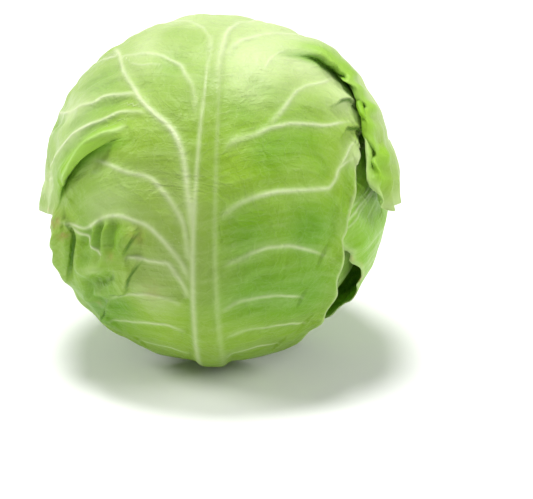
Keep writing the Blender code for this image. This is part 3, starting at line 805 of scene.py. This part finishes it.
def along_line(direction, x, y, places, turn):
    """Distance over the head to a line on the map, the share of the line there, and the side:
    1 on the left of the line's run and -1 on its right. Far from the line the distance is 1."""
    line = smooth_line(places)
    path = map_to_direction(line[:, 0], line[:, 1], turn)
    low = line.min(axis=0) - 14
    high = line.max(axis=0) + 14
    near = (x > low[0]) & (x < high[0]) & (y > low[1]) & (y < high[1])
    close = direction[near]
    gap = np.full(len(close), 1.0)
    share = np.zeros(len(close))
    side = np.ones(len(close))
    for index in range(len(path) - 1):
        run = path[index + 1] - path[index]
        part = np.clip(((close - path[index]) @ run) / (run @ run), 0, 1)
        offset = close - path[index] - part[:, None] * run
        distance = np.linalg.norm(offset, axis=1)
        closer = distance < gap
        gap = np.where(closer, distance, gap)
        share = np.where(closer, (index + part) / (len(path) - 1), share)
        side = np.where(closer, np.sign(offset @ np.cross(path[index], run)), side)
    full = [np.full(x.shape, 1.0), np.zeros(x.shape), np.ones(x.shape)]
    for whole, values in zip(full, (gap * HEAD_RADIUS, share, side)):
        whole[near] = values
    return full


def lobe_share(leaf, across, row, lobe):
    """1 on the named side of the folds and 0 on the other; 1 everywhere where nothing folds."""
    share = np.ones(row.shape)
    for side, fold_row, start, full, _, _, _, half, _ in leaf.folds:
        grown = smooth_step((side * across - start) / (0.5 * (full - start)))
        above = smooth_step(0.5 + (row - fold_row) / half)
        wanted = above if lobe == "upper" else 1 - above
        share = share * (1 - grown * (1 - wanted))
    return share


def rib_relief(leaf, x, y):
    """Height of the midrib: a broad flat band with a raised line along each edge and fine
    grooves between. Also returns how strongly its edges and its middle show."""
    up = smooth_step((y - BASE_ROW) / (leaf.tip() - BASE_ROW))
    centre = RIB_PLACE + RIB_DRIFT * smooth_step((y + 20) / 80)
    half = np.interp(y, *zip(*RIB_HALF_WIDTHS))
    height = np.interp(y, *zip(*RIB_HEIGHTS)) * MM
    place = (x - centre) / half
    body = np.exp(-np.abs(place) ** 5)
    edges = np.exp(-((np.abs(place) - RIB_LINE_PLACE) / RIB_LINE_WIDTH) ** 2)
    edges = edges * np.where(place < 0, *RIB_LINE_SHARES)
    grooves = np.cos(place * RIB_GROOVE_TURN) * np.exp(-(place / RIB_GROOVE_REACH) ** 6)
    fade = smooth_step((RIB_END - y) / RIB_END_ROWS)
    fine = edges * RIB_LINE_HEIGHT + grooves * RIB_GROOVE_HEIGHT
    relief = body * height + fine * fade * smooth_step(up * RIB_LINES_START)
    return relief, edges * fade, body * fade


def lines_relief(lines, ends, leaf, direction, x, y, across, row):
    """Soft relief of lines such as veins, their wide halo, the nearest strong one, and for
    the fine line itself how far off it is in half widths and how strongly it shows. Lines
    fade over the given shares at their two ends."""
    height = np.zeros(x.shape)
    halo = np.zeros(x.shape)
    nearest = np.full(x.shape, 1.0)
    offset = np.full(x.shape, float(LINE_REACH))
    shown_line = np.zeros(x.shape)
    best = np.zeros(x.shape)
    rival = np.zeros(x.shape)
    root, root_share = LINE_ROOT
    faint, faint_share = LINE_ROOT_SHOWING
    for lobe, half_width, rise, places in lines:
        gap, share, side = along_line(direction, x, y, places, leaf.turn)
        width = half_width * MM * (1 - LINE_THINNING * share) * (1 + root * np.exp(-share / root_share))
        broad = np.maximum(RELIEF_SPREAD * width, RELIEF_HALF_WIDTH)
        fade = smooth_step(share / ends[0]) * smooth_step((1 - share) / ends[1])
        shown = lobe_share(leaf, across, row, lobe) * fade
        ridge = shown * (1 - LINE_SINKING * share) * rise * MM * np.exp(-(gap / broad) ** 2)
        height = (height ** 4 + ridge ** 4) ** 0.25
        strength = shown * min(1.0, LINE_SHOWING[0] + LINE_SHOWING[1] * rise)
        strength = strength * (faint + (1 - faint) * smooth_step(share / faint_share))
        halo = np.maximum(halo, strength * np.exp(-(gap / (HALO_SPREAD * width)) ** 2))
        off = gap / width
        here = strength * np.exp(-(off / 2) ** 2)
        ahead = here > best
        offset = np.where(ahead, side * off, offset)
        rival = np.where(ahead, best, np.maximum(rival, here))
        shown_line = np.where(ahead, strength * smooth_step((LINE_REACH - off) / LINE_FADE), shown_line)
        best = np.maximum(best, here)
        if rise > QUILTING_RISE:
            nearest = np.minimum(nearest, np.where(shown > QUILTING_SHOWN, gap, 1.0))
    lead = smooth_step((best - rival) / (LINE_LEAD * best + 1e-9))
    core = smooth_step((LINE_CORE[1] - np.abs(offset)) / (LINE_CORE[1] - LINE_CORE[0]))
    offset = np.clip(offset, -LINE_REACH, LINE_REACH)
    return height, halo, nearest, offset, shown_line * np.maximum(lead, core)


def laps_relief(laps, leaf, direction, x, y, across, row):
    """Height of small laps, steep on one side and easy on the other."""
    height = np.zeros(x.shape)
    for lobe, width, rise, places in laps:
        gap, share, side = along_line(direction, x, y, places, leaf.turn)
        signed = gap * side * np.sign(rise)
        ends = smooth_step(share / LAP_ENDS[0]) * smooth_step((1 - share) / LAP_ENDS[1])
        shown = lobe_share(leaf, across, row, lobe) * ends
        up = smooth_step(signed / (width * MM) + 0.5) * np.exp(-np.maximum(signed, 0) / LAP_REACH)
        height = height + shown * abs(rise) * MM * up * np.exp(-(gap / (LAP_SPREAD * LAP_REACH)) ** 2)
    return height


def uneven(points, heights, offset):
    """Soft unevenness that follows the place in space: bumps of several sizes."""
    rows = points.reshape(-1, 3)
    total = np.zeros(len(rows))
    shift = Vector((offset, -offset, 2 * offset))
    for scale, height in heights:
        total += height * np.array([noise.noise(Vector(row) * scale + shift) for row in rows])
    return total.reshape(points.shape[:-1])


def fold_height(leaf, across, row):
    """Rise of the folds, from the lobe below over the rounded lip to the lobe above, and
    how much of the lip's roll, painted a saturated green for the light bounced in the fold, and of
    the crevice under it, painted shade, lies at each place."""
    height = np.zeros(row.shape)
    roll = np.zeros(row.shape)
    crevice = np.zeros(row.shape)
    for fold in leaf.folds:
        side, _, _, _, _, _, _, _, rise = fold
        share = side * across
        place = fold_place(fold, share, row)
        grown = fold_growth(fold, share)
        step = 0.5 * (1 + np.tanh(FOLD_STEP_SHARPNESS * (place - FOLD_STEP_PLACE)))
        lip = FOLD_LIP_SHARE * np.exp(-((place - FOLD_LIP_PLACE) / FOLD_LIP_WIDTH) ** 2)
        calm = np.exp(-np.maximum(place - FOLD_CALM_PLACE, 0) / FOLD_CALM_ROWS)
        start, ramp = LIP_RIPPLE_START
        middle, width = LIP_RIPPLE_PLACE
        ripple = np.sin(2 * math.pi * share / LIP_WAVES[1]) * smooth_step((share - start) / ramp)
        ripple = LIP_RIPPLE * ripple * np.exp(-((place - middle) / width) ** 2) * (side > 0)
        height = height + (rise * (step + lip) * calm + ripple) * grown
        # The roll carries painted bounce light, the crevice under it painted shade
        roll = roll + grown * np.exp(-((place - FOLD_ROLL_PLACE) / FOLD_ROLL_WIDTH) ** 4)
        band = FOLD_CREVICE_WIDTHS[0] + FOLD_CREVICE_WIDTHS[1] * grown
        crevice = crevice + grown * np.exp(-((place + FOLD_CREVICE_PLACE * band) / band) ** 4)
    return height, roll, crevice


def margin_height(leaf, across, row):
    """Curl, waves and flares of the margin, which stands a little away from the head."""
    to_tip = (leaf.tip() - row) / MARGIN_TIP_ROWS
    from_base = smooth_step((row - BASE_ROW) / MARGIN_BASE_ROWS)
    to_side = (np.abs(across) - MARGIN_START) / (1 - MARGIN_START)
    edge = np.maximum(smooth_step(to_side), smooth_step(1 - to_tip))
    wave = np.sin(2 * math.pi * row / MARGIN_WAVE_ROWS + leaf.layer * 2 + across)
    height = (MARGIN_CURL + MARGIN_WAVE * wave) * edge * from_base
    for side, first, last, rise in leaf.flares:
        lobe = smooth_step((row - first) / FLARE_RAMP_ROWS)
        lobe = lobe * smooth_step((last - row) / FLARE_RAMP_ROWS)
        outwards = smooth_step((side * across - FLARE_START) / (1 - FLARE_START))
        height = height + rise * lobe * outwards
    return height


def sum_of_spots(x, y, spots):
    """Soft round spots on the map added up: place, width in degrees, strength."""
    total = np.zeros(x.shape)
    for centre_x, centre_y, width, strength in spots:
        total = total + strength * np.exp(-((x - centre_x) ** 2 + (y - centre_y) ** 2) / width ** 2)
    return total


def frills_relief(frills, across, row):
    """Height of the frills along the margin."""
    height = np.zeros(row.shape)
    for side, first, last, period, rise in frills:
        lobe = smooth_step((row - first) / FRILL_ROWS[0]) * smooth_step((last - row) / FRILL_ROWS[1])
        rim = smooth_step((side * across - FRILL_START) / (1 - FRILL_START)) ** 1.5
        height = height + rise * lobe * rim * np.sin(2 * math.pi * row / period + 2 * across)
    return height


def quilt_height(x, near):
    """Height of the blade's swellings between its veins; the midrib stays flat."""
    centre, gap, ramp = QUILT_RIB_GAP
    clear_of_rib = smooth_step((np.abs(x - centre) - gap) / ramp)
    return QUILT_HEIGHT * (smooth_step(near / QUILT_REACH) - QUILT_LEVEL) * clear_of_rib


def leaf_relief(place, lines, spots):
    """Height of the veins, creases, laps, swellings and frills, and the marks of their lines."""
    leaf, direction, x, y, across, row = place
    main, main_halo, main_near, main_off, main_line = lines_relief(lines["main"], VEIN_ENDS, *place)
    side, side_halo, side_near, side_off, side_line = lines_relief(lines["side"], VEIN_ENDS, *place)
    crease, crease_shade, _, _, _ = lines_relief(lines["creases"], CREASE_ENDS, *place)
    ridge, ridge_highlight, _, _, _ = lines_relief(lines["ridges"], CREASE_ENDS, *place)
    # The foot of each lap carries a fine line of painted shade
    slits = [(lobe, SLIT_HALF_WIDTH, abs(rise), places) for lobe, _, rise, places in lines["laps"]]
    _, _, _, slit_off, slit_line = lines_relief(slits, SLIT_ENDS, *place)
    lap = laps_relief(lines["laps"], *place)
    quilt = quilt_height(x, np.minimum(main_near, side_near))
    swell = sum_of_spots(x, y, spots["swells"])
    frill = frills_relief(lines["frills"], across, row)
    bumps = uneven(direction * HEAD_RADIUS, UNEVEN_HEIGHTS, leaf.layer * UNEVEN_SHIFT)
    relief = np.maximum(main, side) + ridge - crease + lap + quilt + swell + frill + bumps
    marks = {
        "main_off": main_off, "main_line": main_line, "side_off": side_off, "side_line": side_line,
        "slit_off": slit_off, "slit_line": slit_line,
        # The ridges' share of the halo is a painted highlight
        "halo": np.maximum.reduce([main_halo, side_halo, RIDGE_PAINTED_HIGHLIGHT * ridge_highlight]),
        # Painted shade along the creases
        "deep": np.clip(CREASE_PAINTED_SHADE * crease_shade, 0, 1),
    }
    return relief, marks


def clear_of_stem(points, row):
    """Points of a leaf moved out where they would come too near the stem."""
    reach = np.hypot(points[..., 0], points[..., 1])
    up_stem = np.clip(points[..., 2] / STEM_HEIGHT, 0, 1)
    stem_side = STEM_RADIUS + (STEM_NECK_RADIUS - STEM_RADIUS) * up_stem
    least = stem_side + PIECE_GAP + np.where(row == BASE_ROW, 0, PETIOLE_GAP)
    crowded = (points[..., 2] < HEAD_CENTRE.z) & (reach < least)
    points[..., :2] *= np.where(crowded, least / reach, 1)[..., None]
    return points


def leaf_surface(leaf, outer_leaves, lines, spots):
    """Points of a leaf's outer face, its thickness, and the marks that its colours follow."""
    x, y, across, row = leaf.on_map(leaf.along, leaf.across)
    direction = map_to_direction(x, y, leaf.turn)
    bare = uncovered(direction, outer_leaves)
    rib, rib_edge, rib_body = rib_relief(leaf, x, y)
    fold, roll, crevice = fold_height(leaf, across, row)
    relief, marks = leaf_relief((leaf, direction, x, y, across, row), lines, spots)
    calm = smooth_step((row - BASE_ROW) / BASE_CALM_ROWS)
    lift = (LEAF_REST_LIFT + OPEN_LIFT * min(leaf.layer, 1)) * bare
    height = lift + rib * bare + fold + (margin_height(leaf, across, row) + relief * calm) * bare
    points = direction * (layer_radius(direction, leaf.layer) + height)[..., None]
    points[..., 2] += HEAD_CENTRE.z
    to_side = smooth_step((np.abs(across) - 1) / RIM_WIDTH + 1)
    rim = np.maximum(to_side, smooth_step((row - leaf.tip()) / RIM_ROWS + 1))
    marks.update({
        "rib": rib_body, "rib_edge": rib_edge, "roll": roll, "shade": np.clip(crevice, 0, 1),
        "rim": rim, "along": (y - ALONG_START) / ALONG_ROWS, "across": across, "row": row / ROW_MARK_ROWS,
        "bloom": sum_of_spots(x, y, spots["bloom"]), "brown": sum_of_spots(x, y, spots["brown"]),
        "tone": np.clip(sum_of_spots(x, y, spots["tones"]), *TONE_LIMITS),
    })
    thickness = LEAF_THICKNESS * (1 - RIM_THINNING * rim) + RIB_FILL * rib * bare
    return clear_of_stem(points, row), thickness, marks


def build_leaf(name, surface):
    """A flat grid wrapped round the head, marked for its colours and given its thickness."""
    points, thickness, marks = surface
    rows, columns = thickness.shape
    bpy.ops.mesh.primitive_grid_add(x_subdivisions=columns - 1, y_subdivisions=rows - 1, size=2)
    piece = bpy.context.object
    piece.name = name
    piece.data.vertices.foreach_set("co", points.reshape(-1).astype(np.float32))
    for mark, values in marks.items():
        attribute = piece.data.attributes.new(mark, "FLOAT", "POINT")
        attribute.data.foreach_set("value", values.reshape(-1).astype(np.float32))
    deepest = float(thickness.max())
    depth = piece.vertex_groups.new(name="thickness")
    for index, share in enumerate((thickness / deepest).ravel()):
        depth.add([index], float(share), "REPLACE")
    solid = piece.modifiers.new("thickness", "SOLIDIFY")
    solid.thickness = deepest
    solid.offset = -1
    solid.vertex_group = depth.name
    bpy.ops.object.modifier_apply(modifier=solid.name)
    inner = piece.data.attributes.new("inner", "FLOAT", "POINT")
    inner.data.foreach_set("value", np.repeat([0.0, 1.0], rows * columns).astype(np.float32))
    piece.data.shade_smooth()
    return piece


# Patterns of the leaf's finish. Clouds: scale, detail, where the noise starts and is full.
MOTTLE_CLOUD = (24.0, 3.0, 0.35, 0.65)
MOTTLE_SHARE = 0.35
BLOOM_CLOUD = (14.0, 2.0, 0.48, 0.70)
VEIN_CLOUD = (70.0, 3.0, 0.35, 0.65)
VEIN_SHARES_SHOWN = (0.45, 0.65)
BROWN_CLOUD = (260.0, 2.0, 0.35, 0.60)
DRY_CLOUD = (90.0, 2.0, 0.60, 0.70)
# Shares along the leaf over which it is painted paler towards the crown: painted light from overhead
CROWN_PAINTED_LIGHT_SPAN = (0.55, 0.92)
# Nets: scale, width of their lines; their places are drawn to and fro by a warp
THREAD_NET = (330.0, 0.10)
TWIG_NET = (95.0, 0.045)
WARP_SCALE = 160.0
WARP_AMOUNT = 0.008
# Streaks: scale along the shares of a row, scale along the rows, and their limits
STREAK_SCALES = (3.0, 34.0)
STREAK_LIMITS = (0.42, 0.68)
GRAIN_SCALE = 420.0
CRUMPLE_SCALE = 48.0
ROUGH_SCALE = 40.0
ROUGH_LIMITS = (0.3, 0.7)
LEAF_ROUGHNESS = (0.36, 0.52)
BROWN_COLOUR = (0.36, 0.24, 0.07)
DRY_COLOUR = (0.45, 0.32, 0.10)


class LeafGraph:
    """The nodes of one leaf material: marks of the mesh, arithmetic and patterns."""

    def __init__(self, name):
        self.material = bpy.data.materials.new(name)
        self.material.use_nodes = True
        self.tree = self.material.node_tree
        self.shader = self.tree.nodes["Principled BSDF"]
        self.place = add_node(self.tree, "ShaderNodeTexCoord").outputs["Object"]

    def mark(self, name):
        """One of the marks that the mesh carries."""
        return add_node(self.tree, "ShaderNodeAttribute", attribute_name=name).outputs["Fac"]

    def maths(self, operation, first, second=None):
        """Result of an operation on one or two values, each a number or a node's output."""
        node = add_node(self.tree, "ShaderNodeMath", operation=operation)
        for socket, value in zip(node.inputs, (first, second)):
            if isinstance(value, bpy.types.NodeSocket):
                self.tree.links.new(value, socket)
            elif value is not None:
                socket.default_value = value
        return node.outputs[0]

    def spread(self, value, low, high, to_low=0.0, to_high=1.0, kind="LINEAR"):
        """A value between low and high brought to between to_low and to_high."""
        node = add_node(self.tree, "ShaderNodeMapRange", interpolation_type=kind)
        limits = {"From Min": low, "From Max": high, "To Min": to_low, "To Max": to_high}
        for socket, limit in limits.items():
            node.inputs[socket].default_value = limit
        self.tree.links.new(value, node.inputs["Value"])
        return node.outputs["Result"]

    def speckle(self, place, scale, detail, **settings):
        """Noise that follows a place."""
        node = add_node(self.tree, "ShaderNodeTexNoise", Scale=scale, Detail=detail, **settings)
        self.tree.links.new(place, node.inputs["Vector"])
        return node.outputs["Fac"]

    def cloud(self, scale, detail, low, high):
        """Soft patches of noise."""
        return self.spread(self.speckle(self.place, scale, detail), low, high)

    def fine_line(self, name):
        """Fine lines of one kind: a bell across each, as strong as the mesh says."""
        off = self.mark(name + "_off")
        bell = self.maths("EXPONENT", self.maths("MULTIPLY", self.maths("MULTIPLY", off, off), -1.0))
        return self.maths("MULTIPLY", bell, self.mark(name + "_line"))

    def netted(self, scale, width):
        """Fine lines round the cells of a net, bent by noise."""
        warp = add_node(self.tree, "ShaderNodeTexNoise", Scale=WARP_SCALE, Detail=2.0)
        self.tree.links.new(self.place, warp.inputs["Vector"])
        warped = add_node(self.tree, "ShaderNodeVectorMath", operation="MULTIPLY_ADD")
        warped.inputs[1].default_value = (WARP_AMOUNT, WARP_AMOUNT, WARP_AMOUNT)
        self.tree.links.new(warp.outputs["Color"], warped.inputs[0])
        self.tree.links.new(self.place, warped.inputs[2])
        net = add_node(self.tree, "ShaderNodeTexVoronoi", feature="DISTANCE_TO_EDGE", Scale=scale)
        self.tree.links.new(warped.outputs[0], net.inputs["Vector"])
        return self.spread(net.outputs["Distance"], width, 0.0)


def leaf_patterns(graph):
    """Patterns that both the colour and the relief of a leaf follow."""
    flow = graph.tree.nodes.new("ShaderNodeCombineXYZ")
    for socket, name, scale in (("X", "across", STREAK_SCALES[0]), ("Y", "row", STREAK_SCALES[1])):
        graph.tree.links.new(graph.maths("MULTIPLY", graph.mark(name), scale), flow.inputs[socket])
    veins = graph.maths("MAXIMUM", graph.fine_line("main"), graph.fine_line("side"))
    clouded, always = VEIN_SHARES_SHOWN
    shown = graph.maths("ADD", graph.maths("MULTIPLY", graph.cloud(*VEIN_CLOUD), clouded), always)
    return {
        "streaks": graph.speckle(flow.outputs[0], 1.0, 4.0, Roughness=0.6),
        "veins": graph.maths("MULTIPLY", veins, shown),
        "slits": graph.fine_line("slit"),
        "threads": graph.netted(*THREAD_NET),
        "twigs": graph.netted(*TWIG_NET),
    }


def paint_leaf(graph, patterns, colours, bloom_share):
    """Colour of the leaf, laid on in layers from the ground up."""
    blade, deep, shade, fresh_and_fold_light, pale, bloom, vein_colour, slit_shade_colour = colours
    mark = graph.mark
    maths = graph.maths
    layers = [
        # Paler and deeper patches from the tone spots: partly the leaf's own tone, partly painted light and
        # shade
        (maths("MAXIMUM", maths("MULTIPLY", mark("tone"), -1.0), 0.0), deep, 0.85),
        # Painted light: paler towards the crown, where the overhead light and its sheen fall
        (graph.spread(mark("along"), *CROWN_PAINTED_LIGHT_SPAN, kind="SMOOTHSTEP"), pale, 0.45),
        (maths("MAXIMUM", mark("tone"), 0.0), pale, 0.85),
        (maths("MINIMUM", mark("bloom"), 1.0), bloom, 0.75),
        (graph.cloud(*BLOOM_CLOUD), bloom, bloom_share),
        (graph.spread(patterns["streaks"], *STREAK_LIMITS), pale, 0.10),
        # Pale halos by the veins, and a painted highlight along the ridges
        (mark("halo"), pale, 0.17),
        # Painted shade along the creases
        (mark("deep"), deep, 0.55),
        (mark("rib"), bloom, 0.18),
        (patterns["twigs"], pale, 0.05),
        (patterns["threads"], pale, 0.03),
        (patterns["veins"], vein_colour, 0.80),
        (mark("rib_edge"), vein_colour, 0.42),
        # Painted bounce light: the fold's roll in a saturated green
        (mark("roll"), fresh_and_fold_light, 0.72),
        (mark("inner"), fresh_and_fold_light, 0.75),
        (mark("shade"), shade, 0.90),
        # Painted shade along the foot of each lap
        (patterns["slits"], slit_shade_colour, 0.82),
        (mark("rim"), pale, 0.45),
        (maths("MULTIPLY", mark("brown"), graph.cloud(*BROWN_CLOUD)), BROWN_COLOUR, 0.75),
        (maths("MULTIPLY", mark("rim"), graph.cloud(*DRY_CLOUD)), DRY_COLOUR, 0.6),
    ]
    mottle = maths("MULTIPLY", graph.cloud(*MOTTLE_CLOUD), MOTTLE_SHARE)
    colour = mix_colours(graph.tree, mottle, blade, deep)
    for share, layer_colour, strength in layers:
        colour = mix_colours(graph.tree, maths("MULTIPLY", share, strength), colour, layer_colour)
    graph.tree.links.new(colour, graph.shader.inputs["Base Color"])


def raise_leaf(graph, patterns):
    """Fine relief of the leaf: grain, nets, streaks off the midrib, crumples, veins, slits."""
    maths = graph.maths
    off_rib = maths("SUBTRACT", 1.0, graph.mark("rib"))
    crumple = graph.speckle(graph.place, CRUMPLE_SCALE, 3.0, Roughness=0.55, Distortion=0.8)
    reliefs = [
        (graph.speckle(graph.place, GRAIN_SCALE, 4.0), 0.10),
        (patterns["threads"], 0.06),
        (patterns["twigs"], 0.08),
        (maths("MULTIPLY", patterns["streaks"], off_rib), 0.9),
        (maths("ABSOLUTE", maths("SUBTRACT", crumple, 0.5)), -3.6),
        (patterns["veins"], 0.60),
        (patterns["slits"], -1.2),
    ]
    height = 0.0
    for pattern, strength in reliefs:
        height = maths("ADD", height, maths("MULTIPLY", pattern, strength))
    bump = add_node(graph.tree, "ShaderNodeBump", Strength=0.8, Distance=1.0 * MM)
    graph.tree.links.new(height, bump.inputs["Height"])
    graph.tree.links.new(bump.outputs[0], graph.shader.inputs["Normal"])


def leaf_finish(name, colours, bloom_share):
    """Waxy leaf: greens with painted shade in the creases and hollows, pale by the ribs with a painted
    highlight on the ridges, painted light and shade in patches, a dull bloom in clouds, streaks that
    run out from the midrib, fine netted veins, and a thin light rim."""
    graph = LeafGraph(name)
    patterns = leaf_patterns(graph)
    paint_leaf(graph, patterns, colours, bloom_share)
    raise_leaf(graph, patterns)
    rough = graph.speckle(graph.place, ROUGH_SCALE, 3.0)
    rough = graph.spread(rough, *ROUGH_LIMITS, *LEAF_ROUGHNESS)
    graph.tree.links.new(rough, graph.shader.inputs["Roughness"])
    graph.shader.inputs["Specular IOR Level"].default_value = 0.20
    graph.shader.inputs["Subsurface Weight"].default_value = 0.08
    graph.shader.inputs["Subsurface Scale"].default_value = 0.002
    graph.shader.inputs["Subsurface Radius"].default_value = (0.7, 1.0, 0.25)
    return graph.material


FRONT_COLOURS = [
    # blade, deep (also painted shade), shade (painted shade), fresh and fold light (also the fold
    # roll's painted bounce light), pale (also painted light), bloom, vein, slit shade (painted shade)
    (0.25, 0.42, 0.025), (0.12, 0.30, 0.002), (0.13, 0.34, 0.003), (0.27, 0.53, 0.02), (0.64, 0.75, 0.40),
    (0.22, 0.32, 0.06), (0.68, 0.76, 0.46), (0.05, 0.16, 0.001),
]
FRONT_BLOOM_SHARE = 0.12
front = Leaf(0, FRONT_RIGHT_ROWS, FRONT_LEFT_ROWS, FRONT_FOLDS, FRONT_FLARES, FRONT_ALONG, FRONT_ACROSS)
front_lines = {"main": FRONT_MAIN_VEINS, "side": FRONT_SIDE_VEINS, "creases": FRONT_CREASES,
               "ridges": FRONT_RIDGES, "laps": FRONT_LAPS, "frills": RIM_FRILLS}
front_spots = {"swells": FRONT_SWELLS, "bloom": BLOOM_SPOTS, "tones": FRONT_TONES_AND_PAINTED_LIGHT, "brown": BROWN_SPOTS}
front_leaf = build_leaf("wrapper_1", leaf_surface(front, [], front_lines, front_spots))
front_leaf.data.materials.append(leaf_finish("front_leaf", FRONT_COLOURS, FRONT_BLOOM_SHARE))
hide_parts("leaf_1")
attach(front_leaf, "root")

# The four wrapper leaves under it: the same kind of leaf, each grown a little further in and
# 137.5 degrees round the stem, so that together they close the back and the underside.
WRAPPER_ROWS = [
    (-86, 4, -86, 11, -87), (-78, 9, -77, 22, -78), (-65, 20, -60, 40, -64),
    (-48, 36, -40, 60, -46), (-28, 46, -14, 78, -26), (-6, 56, 12, 90, -8),
    (18, 66, 36, 99, 8), (42, 76, 60, 104, 26), (64, 82, 80, 103, 46),
    (82, 72, 94, 98, 66), (96, 58, 104, 88, 86), (106, 48, 111, 76, 99),
]
WRAPPER_ALONG = [(BASE_ROW, -62, 14), (-62, 106, 140)]
WRAPPER_ACROSS = [(0, 0.07, 8), (0.07, 0.6, 30), (0.6, 1, 22)]
WRAPPER_FRILLS = [(1, -30, 100, 9.0, 0.5 * MM), (-1, -30, 100, 11.0, 0.5 * MM)]
# Veins of these leaves: how many leave each side of the midrib, the row of the first, the rows
# from one to the next, and the ranges that the rest is drawn from
VEIN_PAIRS = 8
VEIN_SHARES = [0.03, 0.18, 0.36, 0.55, 0.75, 0.95]
FIRST_VEIN_ROW = -66
VEIN_STEP_ROWS = 19.5
VEIN_DRIFT_ROWS = 4
VEIN_STAGGER_ROWS = 4
VEIN_SWEEP_ROWS = (8, 16)
VEIN_WANDER_ROWS = 1.6
VEIN_HALF_WIDTHS = (1.1, 1.5)
VEIN_HEIGHTS = (0.25, 0.6)
# Forks: the place on its vein where each leaves, and the rows by which it turns up
FORK_TURNS = [(2, 11.0), (3, -8.8)]
FORK_HEIGHTS = (0.05, 0.25)
WRAPPER_BLOOM_SHARE = 0.15
# Patches that make the wrapper leaves paler high up and deeper low down on the sides
WRAPPER_TONES = [(30, 70, 26, 0.5), (-30, 80, 24, 0.4), (50, 10, 14, -0.4), (-50, 0, 14, -0.4)]
WRAPPER_COLOURS = [
    # blade, deep
    ((0.25, 0.48, 0.03), (0.15, 0.39, 0.005)),
    ((0.23, 0.46, 0.03), (0.14, 0.38, 0.005)),
    ((0.30, 0.52, 0.09), (0.19, 0.43, 0.02)),
    ((0.36, 0.57, 0.12), (0.23, 0.47, 0.03)),
]


def branching_veins(leaf, draw):
    """Main veins that leave the midrib by turns and sweep up and out, and their forks."""
    main = []
    forks = []
    for side in (-1, 1):
        for pair in range(VEIN_PAIRS):
            row = FIRST_VEIN_ROW + VEIN_STEP_ROWS * pair
            row = row + draw.uniform(-VEIN_DRIFT_ROWS, VEIN_DRIFT_ROWS) + VEIN_STAGGER_ROWS * side
            sweep = draw.uniform(*VEIN_SWEEP_ROWS)
            places = []
            for share in VEIN_SHARES:
                wander = draw.uniform(-VEIN_WANDER_ROWS, VEIN_WANDER_ROWS) * share
                x, y = leaf.half_on_map(side, np.array([share]), np.array([row + sweep * share + wander]))
                places.append((float(x[0]), float(y[0])))
            half_width = draw.uniform(*VEIN_HALF_WIDTHS)
            main.append(("both", half_width, draw.uniform(*VEIN_HEIGHTS), places))
            for first, turn_up in FORK_TURNS:
                fork = [places[first]]
                for share in VEIN_SHARES[first + 1:]:
                    bent = row + sweep * share + turn_up * (share - VEIN_SHARES[first])
                    x, y = leaf.half_on_map(side, np.array([share]), np.array([bent]))
                    fork.append((float(x[0]), float(y[0])))
                forks.append(("both", 1.0, draw.uniform(*FORK_HEIGHTS), fork))
    return main, forks


mirrored = [(y, -bend_x, bend_y, -margin_x, margin_y)
            for y, bend_x, bend_y, margin_x, margin_y in WRAPPER_ROWS]
draw = random.Random(7)
outer = [front]
for layer, (blade, deep) in enumerate(WRAPPER_COLOURS, start=1):
    wrapper = Leaf(layer, WRAPPER_ROWS, mirrored, [], [], WRAPPER_ALONG, WRAPPER_ACROSS)
    main, forks = branching_veins(wrapper, draw)
    lines = {"main": main, "side": forks, "creases": [], "ridges": [], "laps": [], "frills": WRAPPER_FRILLS}
    spots = {"swells": [], "bloom": [], "tones": WRAPPER_TONES, "brown": []}
    piece = build_leaf(f"wrapper_{layer + 1}", leaf_surface(wrapper, outer, lines, spots))
    piece.data.materials.append(leaf_finish(
        f"wrapper_leaf_{layer + 1}", [blade, deep, *FRONT_COLOURS[2:]], WRAPPER_BLOOM_SHARE))
    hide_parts(f"leaf_{layer + 1}")
    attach(piece, "root")
    outer.append(wrapper)
